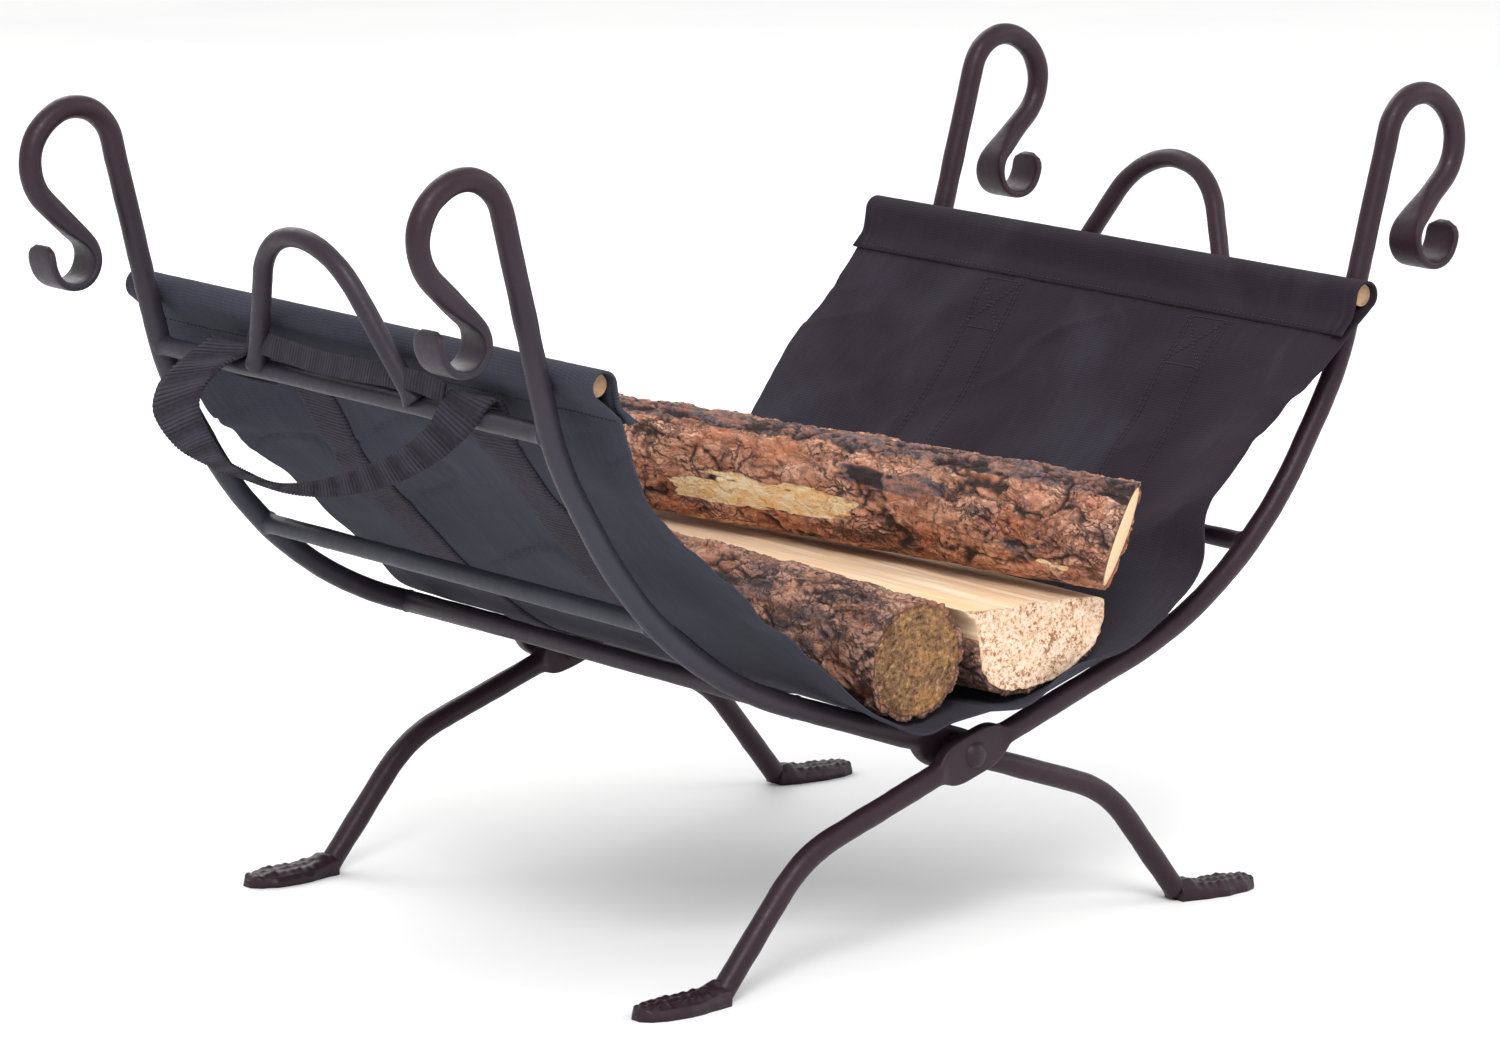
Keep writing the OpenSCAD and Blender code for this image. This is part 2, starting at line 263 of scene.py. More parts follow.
class Finish:
    """Short-hand for one procedural material."""

    def __init__(self, name):
        self.material = bpy.data.materials.new(name)
        self.material.use_nodes = True
        self.tree = self.material.node_tree
        self.surface = next(n for n in self.tree.nodes if n.type == "BSDF_PRINCIPLED")
        self.place = self.add("ShaderNodeTexCoord").outputs["Object"]

    def add(self, kind, inputs=None, **settings):
        return shade(self.tree, kind, inputs, **settings)

    def flat(self):
        return self.add("ShaderNodeTexCoord").outputs["UV"]

    def stretched(self, scale, source=None):
        return self.add("ShaderNodeMapping", {"Vector": source or self.place, "Scale": scale}).outputs[0]

    def noise(self, scale, detail=4.0, rough=0.55, source=None, distortion=0.0):
        node = self.add("ShaderNodeTexNoise", {
            "Vector": source or self.place, "Scale": scale, "Detail": detail, "Roughness": rough,
            "Distortion": distortion})
        return node.outputs["Fac"]

    def bands(self, scale, source, direction, distortion, detail=2.0):
        node = self.add("ShaderNodeTexWave", {
            "Vector": source, "Scale": scale, "Distortion": distortion, "Detail": detail,
            "Detail Scale": 1.5}, bands_direction=direction)
        return node.outputs["Fac"]

    def scale_edges(self, scale, source):
        """Distance to the nearest edge in a pattern of irregular scales."""
        node = self.add("ShaderNodeTexVoronoi", {"Vector": source, "Scale": scale},
                        feature="DISTANCE_TO_EDGE")
        return node.outputs["Distance"]

    def ramp(self, value, *stops):
        node = self.add("ShaderNodeValToRGB", {"Fac": value})
        line = node.color_ramp
        while len(line.elements) < len(stops):
            line.elements.new(0.5)
        for element, (at, colour) in zip(line.elements, stops):
            element.position = at
            element.color = (*colour, 1)
        return node.outputs["Color"]

    def between(self, value, low, high, start=0.0, end=1.0):
        """start where value is low, end where it is high, and a straight change in between."""
        node = self.add("ShaderNodeMapRange", {
            "Value": value, "From Min": low, "From Max": high, "To Min": start, "To Max": end})
        return node.outputs["Result"]

    def mix(self, share, a, b, way="MIX"):
        node = self.add("ShaderNodeMix", data_type="RGBA", blend_type=way)
        colours = [s for s in node.inputs if s.type == "RGBA"]
        for socket, value in zip((node.inputs[0], *colours), (share, a, b)):
            self.put(socket, value)
        return next(s for s in node.outputs if s.type == "RGBA")

    def math(self, way, a, b):
        node = self.add("ShaderNodeMath", operation=way)
        self.put(node.inputs[0], a)
        self.put(node.inputs[1], b)
        return node.outputs[0]

    def put(self, socket, value):
        """Links an output to a socket, or sets the socket to a colour or a number."""
        if isinstance(value, bpy.types.NodeSocket):
            self.tree.links.new(value, socket)
        elif hasattr(value, "__len__"):
            socket.default_value = (*value[:3], 1)
        else:
            socket.default_value = value

    def own(self, name):
        return self.add("ShaderNodeAttribute", attribute_name=name).outputs["Fac"]

    def bump(self, height, depth, after=None):
        node = self.add("ShaderNodeBump", {"Height": height, "Strength": 1.0, "Distance": depth * MM})
        if after:
            self.tree.links.new(after, node.inputs["Normal"])
        return node.outputs["Normal"]

    def finish(self, **sockets):
        for key, value in sockets.items():
            self.put(self.surface.inputs[key.replace("_", " ")], value)
        return self.material


def tinted(colour, factor):
    """A colour times a factor for each of red, green and blue."""
    return tuple(min(1.0, c * f) for c, f in zip(colour, factor))


def forged_iron(colour, cool):
    """Dark lacquered iron with forging dents and fine scale, bluer low on the left."""
    f = Finish("forged_iron")
    parts = f.add("ShaderNodeSeparateXYZ", {"Vector": f.place}).outputs
    band = f.math("MULTIPLY", f.between(parts["Z"], 0.44, 0.26), f.between(parts["Z"], 0.09, 0.2))
    share = f.math("MULTIPLY", f.between(parts["X"], 0.1, -0.2), band)
    tone = f.mix(share, colour, cool)
    broad = f.noise(14, 3)
    scale = f.noise(420, 5, 0.65)
    base = f.mix(f.between(broad, 0.35, 0.65), tone, (0.8, 0.8, 0.8), "MULTIPLY")
    base = f.mix(f.between(scale, 0.6, 0.78, 0.0, 0.4), base, tinted(cool, (1.8, 1.6, 1.6)))
    dents = f.bump(f.noise(95, 2), 0.35)
    grain = f.bump(scale, 0.10, dents)
    return f.finish(Base_Color=base, Metallic=0.1, Roughness=f.between(scale, 0.3, 0.7, 0.36, 0.54),
                    Specular_IOR_Level=0.26, Normal=grain)


def heavy_canvas(warm, cool):
    """Plain-woven cloth, cooler towards the left, with dust, a thread weave with painted shade in its
    hollows, and soft fading.
    """
    f = Finish("heavy_canvas")
    flat = f.flat()
    warp = f.bands(190, flat, "X", 0.6)
    weft = f.bands(190, flat, "Y", 0.6)
    weave = f.math("MULTIPLY", warp, weft)
    slub = f.noise(30, 4, source=f.stretched((1, 14, 1), flat))
    across = f.add("ShaderNodeSeparateXYZ", {"Vector": f.place}).outputs["X"]
    # The cloth is cooler in tone towards the left, by its X place; the dust below is a separate noise on
    # both halves.
    side = f.between(across, 0.12, -0.2)
    base = f.mix(side, warm, cool)
    dust = f.noise(5.5, 4, 0.6, distortion=0.6)
    base = f.mix(f.between(dust, 0.45, 0.68, 0.0, 0.6), base, tinted(cool, (1.5, 1.45, 1.4)))
    base = f.mix(f.between(slub, 0.3, 0.75, 0.0, 0.30), base, tinted(warm, (0.62, 0.6, 0.62)))
    # Painted shade: the weave's hollows, low in its bump, are darkened.
    base = f.mix(f.between(weave, 0.0, 0.6, 0.35, 0.0), base, tinted(warm, (0.5, 0.5, 0.5)))
    relief = f.bump(weave, 0.16)
    soft = f.bump(f.noise(38, 4), 0.9, relief)
    return f.finish(Base_Color=base, Roughness=0.95, Specular_IOR_Level=0.08, Sheen_Weight=0.03,
                    Sheen_Roughness=0.5, Normal=soft)


def cotton_webbing(colour):
    """Ribbed webbing: cross ribs with fine yarn along them, painted shade in the ribs' hollows and painted
    highlight on their crests.
    """
    f = Finish("cotton_webbing")
    flat = f.flat()
    ribs = f.bands(130, flat, "X", 0.25)
    yarn = f.bands(330, flat, "Y", 0.8)
    fuzz = f.noise(260, 4)
    # Painted shade and painted highlight: the rib hollows are darker and the crests lighter, in step with
    # the ribs' bump.
    shaded_hollow, lit_crest = tinted(colour, (0.6, 0.6, 0.6)), tinted(colour, (1.2, 1.18, 1.2))
    base = f.mix(f.between(ribs, 0.1, 0.9), shaded_hollow, lit_crest)
    base = f.mix(f.between(fuzz, 0.45, 0.8, 0.0, 0.4), base, tinted(colour, (1.9, 1.8, 1.8)))
    relief = f.bump(f.math("ADD", ribs, f.math("MULTIPLY", yarn, 0.35)), 0.35)
    return f.finish(Base_Color=base, Roughness=0.9, Specular_IOR_Level=0.12, Sheen_Weight=0.04,
                    Normal=relief)


def sewing_thread(colour):
    f = Finish("sewing_thread")
    twist = f.bands(900, f.place, "DIAGONAL", 0.5)
    # Painted shade and painted highlight: the thread is darker in the twist's grooves and lighter on its
    # ridges, in step with its bump.
    base = f.mix(twist, tinted(colour, (0.7, 0.7, 0.7)), tinted(colour, (1.3, 1.3, 1.3)))
    return f.finish(Base_Color=base, Roughness=0.7, Normal=f.bump(twist, 0.08))


def turned_dowel(colour):
    """Hardwood with grain along the rod."""
    f = Finish("turned_dowel")
    grain = f.noise(60, 6, 0.6, source=f.stretched((6, 0.5, 6)))
    pores = f.noise(900, 3, source=f.stretched((1, 0.12, 1)))
    base = f.mix(f.between(grain, 0.35, 0.7), colour, tinted(colour, (0.72, 0.62, 0.5)))
    base = f.mix(f.between(pores, 0.6, 0.75, 0.0, 0.5), base, tinted(colour, (0.4, 0.32, 0.24)))
    return f.finish(Base_Color=base, Roughness=0.6, Normal=f.bump(grain, 0.12))


def fresh_wood(colour):
    """Pale cleft wood: fibres along the log, coarse sawn specks where the end attribute is set."""
    f = Finish("fresh_wood")
    fibre = f.noise(34, 6, 0.62, source=f.stretched((7, 0.4, 7)))
    hair = f.noise(240, 4, 0.6, source=f.stretched((3.2, 0.12, 3.2)))
    long_stain = f.noise(8, 4, 0.5, source=f.stretched((3.0, 0.4, 3.0)))
    light, shadow = tinted(colour, (1.05, 1.12, 1.3)), tinted(colour, (0.98, 0.86, 0.74))
    cleft = f.mix(f.between(fibre, 0.36, 0.7), light, shadow)
    cleft = f.mix(f.between(hair, 0.55, 0.72, 0.0, 0.4), cleft, tinted(colour, (0.85, 0.62, 0.42)))
    cleft = f.mix(f.between(long_stain, 0.52, 0.72, 0.0, 0.5), cleft, tinted(colour, (0.98, 0.76, 0.55)))
    specks = f.noise(420, 5, 0.8)
    patch = f.noise(60, 4, 0.6)
    light, shadow = tinted(colour, (1.0, 1.06, 1.3)), tinted(colour, (0.82, 0.72, 0.68))
    torn = f.mix(f.between(specks, 0.44, 0.54), light, shadow)
    dark = f.math("ADD", specks, f.between(patch, 0.3, 0.7, -0.05, 0.05))
    torn = f.mix(f.between(dark, 0.535, 0.6, 0.0, 0.92), torn, tinted(colour, (0.3, 0.16, 0.11)))
    saw = f.own("sawn")
    base = f.mix(saw, cleft, torn)
    height = f.mix(saw, fibre, specks)
    return f.finish(Base_Color=base, Roughness=0.78, Specular_IOR_Level=0.2,
                    Normal=f.bump(height, 0.9, f.bump(hair, 0.2)))


def smooth_sawn_wood(colour):
    """Pale sawn end with faint rings, on the clean log."""
    f = Finish("smooth_sawn_wood")
    rings = f.own("ring")
    lines = f.bands(2.2, f.add("ShaderNodeCombineXYZ", {"X": rings}).outputs[0], "X", 1.4, 3.0)
    kerf = f.noise(130, 4, 0.6, source=f.stretched((1, 1, 0.12)))
    base = f.mix(f.between(lines, 0.2, 0.95, 0.0, 0.35), colour, tinted(colour, (0.84, 0.68, 0.46)))
    base = f.mix(f.between(kerf, 0.5, 0.8, 0.0, 0.3), base, tinted(colour, (1.1, 1.1, 1.15)))
    edge = f.between(rings, 0.86, 1.0, 0.0, 0.6)
    base = f.mix(edge, base, tinted(colour, (0.72, 0.5, 0.3)))
    return f.finish(Base_Color=base, Roughness=0.72, Specular_IOR_Level=0.2, Normal=f.bump(kerf, 0.3))


def weathered_wood(colour):
    """Old sawn end: dark rough rings, yellow sapwood patches, dirt in the torn grain."""
    f = Finish("weathered_wood")
    rings = f.own("ring")
    rough = f.noise(300, 6, 0.8)
    patch = f.noise(34, 5, 0.7, distortion=1.2)
    lines = f.bands(2.6, f.add("ShaderNodeCombineXYZ", {"X": rings}).outputs[0], "X", 6.0, 5.0)
    light, shadow = tinted(colour, (0.85, 0.8, 0.75)), tinted(colour, (0.4, 0.34, 0.32))
    base = f.mix(f.between(lines, 0.3, 0.9, 0.0, 0.4), light, shadow)
    base = f.mix(f.between(patch, 0.52, 0.62, 0.0, 0.65), base, tinted(colour, (1.5, 1.3, 0.8)))
    base = f.mix(f.between(patch, 0.49, 0.4, 0.0, 0.85), base, tinted(colour, (0.45, 0.4, 0.42)))
    base = f.mix(f.between(rough, 0.52, 0.6, 0.0, 0.9), base, tinted(colour, (0.2, 0.15, 0.13)))
    base = f.mix(f.between(rough, 0.44, 0.38, 0.0, 0.7), base, tinted(colour, (2.2, 2.1, 1.9)))
    edge = f.math("MULTIPLY", f.between(rings, 0.84, 1.0, 0.0, 0.75), f.between(rough, 0.4, 0.6))
    base = f.mix(edge, base, tinted(colour, (0.4, 0.3, 0.25)))
    return f.finish(Base_Color=base, Roughness=0.9, Specular_IOR_Level=0.15,
                    Normal=f.bump(rough, 1.1, f.bump(lines, 0.3)))


def flaking_bark(name, flake, furrow, bare):
    """Bark that takes its cracks, old grey ridges and bare patches from the mesh; its cracks and scale edges
    are darkened, partly the bark's own darker colour and partly painted shade.
    """
    f = Finish(name)
    crack, old, gone, plate = (f.own(n) for n in ("crack", "old", "gone", "plate"))
    wide = f.noise(24, 5, 0.65, distortion=0.6)
    stain = f.noise(17, 6, 0.7, source=f.stretched((1.6, 0.7, 1.6)), distortion=0.8)
    fine = f.noise(340, 6, 0.75)
    streak = f.noise(85, 6, 0.7, source=f.stretched((2.4, 0.6, 2.4)))
    warp = f.add("ShaderNodeTexNoise", {"Vector": f.place, "Scale": 55.0, "Detail": 4.0}).outputs["Color"]
    bent = f.add("ShaderNodeVectorMath", {0: warp, 1: (0.024, 0.024, 0.024), 2: f.place},
                 operation="MULTIPLY_ADD").outputs[0]
    wide_scales = f.scale_edges(58, f.stretched((1.7, 0.6, 1.7), bent))
    small_scales = f.scale_edges(140, f.stretched((1.8, 0.55, 1.8), bent))
    line = f.math("MULTIPLY", f.between(wide_scales, 0.10, 0.02), f.between(wide, 0.38, 0.56))
    thin = f.math("MULTIPLY", f.between(small_scales, 0.10, 0.02), f.between(stain, 0.42, 0.58))
    scale_edges = f.math("MAXIMUM", line, thin)
    base = f.ramp(plate,
                  (0.15, tinted(flake, (0.62, 0.46, 0.38))), (0.42, tinted(flake, (0.92, 0.86, 0.82))),
                  (0.62, tinted(flake, (1.12, 1.14, 1.16))), (0.85, tinted(flake, (1.35, 1.5, 1.6))))
    base = f.mix(f.between(wide, 0.5, 0.66, 0.0, 0.6), base, tinted(flake, (1.4, 1.65, 1.85)))
    base = f.mix(f.between(wide, 0.46, 0.34, 0.0, 0.7), base, tinted(flake, (0.8, 0.52, 0.36)))
    base = f.mix(f.between(streak, 0.55, 0.66, 0.0, 0.85), base, tinted(flake, (0.5, 0.34, 0.28)))
    base = f.mix(f.between(streak, 0.44, 0.34, 0.0, 0.55), base, tinted(flake, (1.5, 1.7, 1.8)))
    base = f.mix(f.between(stain, 0.54, 0.68, 0.0, 0.85), base, tinted(furrow, (1.8, 1.9, 2.3)))
    base = f.mix(f.between(fine, 0.56, 0.66, 0.0, 0.75), base, tinted(flake, (0.3, 0.2, 0.17)))
    base = f.mix(f.between(fine, 0.42, 0.34, 0.0, 0.5), base, tinted(flake, (1.6, 1.9, 2.0)))
    # The scale edges, pressed in by the bump, are darkened: partly the bark's darker colour in its cracks,
    # partly painted shade.
    base = f.mix(f.math("MULTIPLY", scale_edges, 0.85), base, tinted(furrow, (0.8, 0.6, 0.55)))
    grey = f.mix(f.between(fine, 0.4, 0.6), tinted(furrow, (2.6, 2.6, 2.9)), furrow)
    grey = f.mix(f.between(streak, 0.42, 0.56, 0.75, 0.0), grey, tinted(flake, (0.7, 0.62, 0.6)))
    base = f.mix(f.between(old, 0.3, 0.7, 0.0, 0.92), base, grey)
    # The crack value darkens the mesh's cracks, fissures, furrows, chips and the rims of bare patches:
    # partly the bark's own darker colour there and partly painted shade.
    base = f.mix(f.between(crack, 0.2, 0.9, 0.0, 0.95), base, tinted(furrow, (0.42, 0.34, 0.32)))
    pale = f.mix(f.between(streak, 0.44, 0.6), bare, tinted(bare, (0.92, 0.66, 0.44)))
    pale = f.mix(f.between(fine, 0.6, 0.7, 0.0, 0.8), pale, tinted(flake, (0.8, 0.6, 0.5)))
    base = f.mix(f.between(gone, 0.35, 0.65), base, pale)
    relief = f.bump(fine, 1.0, f.bump(streak, 1.2, f.bump(scale_edges, -0.9)))
    return f.finish(Base_Color=base, Roughness=0.85, Specular_IOR_Level=0.25, Normal=relief)


FINISHES = {}


def finish_of(name):
    """Each material is made once, from the colours in the panel."""
    if name not in FINISHES:
        c = bpy.context.scene.log_rack_colours
        makers = {
            "iron": lambda: forged_iron(c.iron, c.iron_cool),
            "canvas": lambda: heavy_canvas(c.canvas_warm, c.canvas_cool),
            "webbing": lambda: cotton_webbing(c.webbing),
            "thread": lambda: sewing_thread(c.thread),
            "dowel": lambda: turned_dowel(c.dowel),
            "fresh": lambda: fresh_wood(c.fresh_wood),
            "smooth": lambda: smooth_sawn_wood(c.fresh_wood),
            "weathered": lambda: weathered_wood(c.weathered_wood),
            "top_bark": lambda: flaking_bark("orange_bark", c.top_bark, c.furrow, c.bare_wood),
            "low_bark": lambda: flaking_bark("brown_bark", c.low_bark, c.furrow, c.bare_wood),
        }
        FINISHES[name] = makers[name]()
    return FINISHES[name]


def dress(node, finish, bevel):
    """A CAD piece keeps its shape and gets its finish and softened edges."""
    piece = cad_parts[node]
    piece.data.materials.clear()
    piece.data.materials.append(finish_of(finish))
    soft = piece.modifiers.new("soft_edges", "BEVEL")
    soft.width, soft.segments, soft.limit_method = bevel, 2, "ANGLE"
    soft.angle_limit = math.radians(50)


# ---------------------------------------------------------------- forged frames

# A forged line from the pivot outward: (length, 0) is straight, (radius, turn in degrees) is a bend.
CROSS_ANGLE = 18.8      # degrees between a bar and level where it passes the pivot
ARM = ((122.7, 0), (240, -40), (29, 0), (171, -16.3), (112, 0), (25, 106), (2, 0), (29, 106),
       (32, 0), (15, -75), (14.5, -125), (24, -38))
LEG = ((102.3, 0), (82, -31.7), (62, 0))
LIMB_PARTS = 8          # ARM pieces before the one in which the bar starts to flatten
STRIP_PARTS = 10        # ARM pieces before it is a flat strip


def piece_length(part):
    return part[0] if part[1] == 0 else part[0] * math.radians(abs(part[1]))


BAR_STEP = 2.4          # distance between the rings of a bar
BAR_SIDES = 28
SCROLL_START = 8        # the flattening begins this far into the part after the limb
CORNER = 8.0            # rounding of the scroll's square tip
LAP_HALF_LENGTH, LAP_FADE = 27, 6
EYE_HALF_LENGTH, EYE_HALF_HEIGHT = 26, 12.5
LAP_HALF_WIDTH = 4.5


def forged_line(parts, heading):
    """Points (x, z) from the pivot, headings in radians, and distances along the line."""
    at, h, run = np.zeros(2), math.radians(heading), 0.0
    points, headings, runs = [at], [h], [0.0]
    for size, turn in parts:
        length = piece_length((size, turn))
        count = max(2, int(length / BAR_STEP))
        for k in range(1, count + 1):
            t = k / count
            if turn == 0:
                p, g = at + size * t * np.array([math.cos(h), math.sin(h)]), h
            else:
                g = h + math.radians(turn) * t
                p = at + math.copysign(size, turn) * np.array(
                    [math.sin(g) - math.sin(h), math.cos(h) - math.cos(g)])
            points.append(p)
            headings.append(g)
            runs.append(run + length * t)
        at, h, run = points[-1], headings[-1], run + length
    return np.array(points), np.array(headings), np.array(runs)


ARM_RUN = sum(piece_length(p) for p in ARM)
LIMB_RUN = sum(piece_length(p) for p in ARM[:LIMB_PARTS]) + SCROLL_START
STRIP_RUN = sum(piece_length(p) for p in ARM[:STRIP_PARTS])


def turned(points, side):
    """The right-hand frame is the left-hand one turned half a turn."""
    flip = np.array([-1, -1, 1]) if side == "right" else np.array([1, 1, 1])
    return points * flip


def frame_bar(side, end, sizes):
    """One bar: leg, lap, arm, upright, crook and scroll, all one forging."""
    name = f"{side}_{end}_bar"
    low, high = node_box(name)
    y = (low[1] + high[1]) / 2 * (-1 if side == "right" else 1)
    arm = forged_line(ARM, 180 - CROSS_ANGLE)
    leg = forged_line(LEG, -CROSS_ANGLE)
    xz = np.vstack([leg[0][:0:-1], arm[0]])
    heading = np.concatenate([leg[1][:0:-1] + math.pi, arm[1]])
    run = np.concatenate([-leg[2][:0:-1], arm[2]])
    round_half = sizes.bar_diameter / MM / 2
    lap = smooth((LAP_HALF_LENGTH - np.abs(run)) / LAP_FADE)
    eye = EYE_HALF_HEIGHT * np.sqrt(np.clip(1 - (np.abs(run) / EYE_HALF_LENGTH) ** 3, 0, 1))
    strip = smooth((run - LIMB_RUN) / (STRIP_RUN - LIMB_RUN))
    thick = np.maximum(round_half, eye) * (1 - strip) + sizes.scroll_thickness / MM / 2 * strip
    wide = round_half + (LAP_HALF_WIDTH - round_half) * lap
    wide = wide * (1 - strip) + sizes.scroll_width / MM / 2 * strip
    tip = np.clip(CORNER - (ARM_RUN - run), 0, CORNER)
    wide = wide - CORNER + np.sqrt(np.maximum(CORNER**2 - tip**2, 0.2))
    square = 2 + 4 * np.maximum(lap, strip)
    centre = np.stack([xz[:, 0], np.full(len(xz), y), PIVOT_Z + xz[:, 1]], -1)
    across = np.stack([-np.sin(heading), np.zeros(len(xz)), np.cos(heading)], -1)
    up = np.tile([0.0, 1.0, 0.0], (len(xz), 1))
    rings = ring_tube(centre, across, up, thick, wide, square, BAR_SIDES)
    rings = hammered(rings, centre[:, None])
    make(f"{name}_forged", turned(rings, side), tube_faces(len(xz), BAR_SIDES), finish_of("iron"),
         f"{side}_frame", [name])


ROD_SIDES, RAIL_RINGS = 24, 120
WELD_SWELL = 1.5        # how much a rail thickens where it is welded to a bar


def frame_rail(side, level, sizes):
    """A cross rail, swelling a little where it is welded into the bars."""
    name = f"{side}_{level}_rail"
    low, high = node_box(name)
    middle = (low + high) / 2
    half = (high[1] - low[1]) / 2
    reach = half + sizes.bar_diameter / MM / 2 - WELD_SWELL
    y = reach * np.sin(np.linspace(-math.pi / 2, math.pi / 2, RAIL_RINGS))
    gap = np.abs(np.abs(y) - half)
    radius = sizes.rail_diameter / MM / 2 + WELD_SWELL * np.exp(-gap / 2.2)
    radius = radius + 0.12 * noise(np.stack([y, y * 0, y * 0 + middle[2]], -1), 24, 3)
    centre = np.stack([y * 0 + middle[0], middle[1] + y, y * 0 + middle[2]], -1)
    across, up = np.tile([1.0, 0, 0], (RAIL_RINGS, 1)), np.tile([0, 0, 1.0], (RAIL_RINGS, 1))
    rings = ring_tube(centre, across, up, radius, radius, np.full(RAIL_RINGS, 2.0), ROD_SIDES)
    make(f"{name}_forged", hammered(rings, centre[:, None], 0.15), tube_faces(RAIL_RINGS, ROD_SIDES),
         finish_of("iron"), f"{side}_frame", [name])


ARCH_RADIUS, ARCH_LEG = 48, 68
ARCH_FLARE, ARCH_LEAN = 27, 17      # degrees: each leg from upright, and the whole arch outward
ARCH_OUT = 2.5                      # from the rail's axis out to the arch's foot


def arched_handle(side, sizes):
    """The bent rod that stands on the top rail, leaning outward."""
    name = f"{side}_arch_handle"
    rail = node_centre(f"{side}_top_rail")
    sign = SIDES[side]
    y_mid = node_centre(name)[1]
    flare, lean = math.radians(ARCH_FLARE), math.radians(ARCH_LEAN)
    foot = ARCH_RADIUS * math.cos(flare) + ARCH_LEG * math.sin(flare)
    peak = ARCH_LEG * math.cos(flare) - ARCH_RADIUS * math.sin(flare)
    leg = np.linspace(3, ARCH_LEG, 34)
    bow = np.linspace(flare, math.pi - flare, 70)[1:-1]
    across = np.concatenate([foot - leg * math.sin(flare), ARCH_RADIUS * np.cos(bow),
                             (leg * math.sin(flare) - foot)[::-1]])
    height = np.concatenate([leg * math.cos(flare), peak + ARCH_RADIUS * np.sin(bow),
                             (leg * math.cos(flare))[::-1]])
    centre = np.stack([rail[0] + sign * (ARCH_OUT + height * math.sin(lean)), y_mid + across,
                       rail[2] + height * math.cos(lean)], -1)
    tangent = unit(np.gradient(centre, axis=0))
    normal = np.tile([math.cos(lean), 0, -sign * math.sin(lean)], (len(centre), 1))
    binormal = np.cross(tangent, normal)
    base = np.minimum(height, height[::-1])
    radius = sizes.rail_diameter / MM / 2 + 1.3 * np.exp(-np.maximum(base - 5, 0) / 2.0)
    rings = ring_tube(centre, normal, binormal, radius, radius, np.full(len(centre), 2.0), ROD_SIDES)
    make(f"{name}_forged", hammered(rings, centre[:, None], 0.18), tube_faces(len(centre), ROD_SIDES),
         finish_of("iron"), f"{side}_frame", [name])


# A foot's outline: half its width at distances from the ankle, heel first.
FOOT_AT = (-9, -2, 8, 22, 37, 45, 50)
FOOT_HALF = (8.0, 9.4, 11.5, 13.4, 12.2, 9.0, 3.5)
FOOT_RIM, FOOT_SOLE = 0.8, 0.1      # heights of the lowest edge of the top and of the sole
STUD_ROWS, STUD_PITCH, STUD_SIZE = 8, 5.6, 1.75


def forged_foot(side, end):
    """A leaf-shaped foot with rows of hammered studs and a weld lump at the ankle."""
    name = f"{side}_{end}_foot"
    low, high = node_box(name)
    sign = SIDES[side]
    ankle = low[0] - FOOT_AT[0] if sign > 0 else high[0] + FOOT_AT[0]
    y_mid, top = (low[1] + high[1]) / 2, high[2] - 0.8
    length, rows, cols = high[0] - low[0], 96, 44
    u, v = np.meshgrid(np.linspace(0, 1, rows), np.linspace(-1, 1, cols), indexing="ij")
    x = FOOT_AT[0] + length * u
    half = np.interp(x, FOOT_AT, FOOT_HALF)
    rough = noise(np.stack([x, v * 40, x * 0 + ankle + y_mid], -1), 7, 11)
    half = half + 0.7 * rough * np.abs(v)
    y = half * v
    place = np.stack([x, y, x * 0 + ankle + 3 * y_mid], -1)
    bumps = np.zeros_like(x)
    for row in range(STUD_ROWS):
        for column in (-1, 0, 1):
            stud_x = 5.5 + row * STUD_PITCH + (1.6 if column else 0)
            stud_y = column * np.interp(stud_x, [0, 22, 45], [5.6, 7.6, 5.0])
            jitter = lattice(np.array([row, column + 3, int(abs(ankle + y_mid))]), 4)
            r2 = (x - stud_x - 1.6 * (jitter - 0.5)) ** 2 + (y - stud_y) ** 2
            bumps = bumps + (1.1 + 0.9 * jitter) * np.exp(-r2 / (2 * STUD_SIZE**2))
    crown = top - 1.9 * np.abs(v) ** 3 - 1.3 * smooth((x - 30) / 20)
    lump = 5.5 * np.exp(-(((x + 3) / 9.0) ** 2 + (y / 8.0) ** 2)) * (1 + 0.3 * noise(place, 4, 3))
    z = crown + bumps + lump + 0.4 * noise(place, 3.5, 8)
    z = z - 2.2 * smooth((np.abs(v) - 0.86) / 0.14) - 2.0 * smooth((u - 0.95) / 0.05)
    z = np.maximum(z, FOOT_RIM)
    upper = np.stack([x, y, z], -1).reshape(-1, 3)
    under = np.stack([x, y * 0.97, z * 0 + FOOT_SOLE], -1).reshape(-1, 3)
    points = np.vstack([upper, under]) * [sign, 1, 1] + [ankle, y_mid, 0]
    body = "left_frame" if side == "right" else "right_frame"
    make(f"{name}_forged", points, slab_faces(rows, cols), finish_of("iron"), body, [name])


# ---------------------------------------------------------------- canvas carrier

# The run of each half of the canvas at its front edge, its middle and its back edge, from the bottom
# out to the hem: (outward, up) from the pivot.
CANVAS_LINES = {
    "right": {
        "front": ((0, 27), (10, 26), (22, 25), (34, 26.5), (50, 31.5), (85, 43), (114, 55), (150, 83),
                  (156, 118), (180, 141), (218, 177), (243, 199)),
        "middle": ((0, 16.5), (46, 25.5), (82, 38), (136, 76), (184, 121), (226, 171), (247, 201)),
        "back": ((0, 17), (46, 25.5), (82, 38), (132, 78), (172, 121), (195, 150), (226, 180), (247, 202)),
    },
    "left": {
        "front": ((0, 27), (24, 24.5), (44, 22), (66, 30.5), (94, 45), (137, 79), (174, 111), (205, 135),
                  (229, 156), (245, 182), (251, 200)),
        "middle": ((0, 16.5), (46, 25.5), (84, 38), (136, 77), (182, 121), (224, 171), (247, 201)),
        "back": ((0, 17), (46, 25.5), (90, 40), (111, 59), (140, 85), (168, 112), (196, 132), (226, 155),
                 (243, 179), (250, 200)),
    },
}
HEM_DROP = 21           # from the dowel's axis down to the stitch line
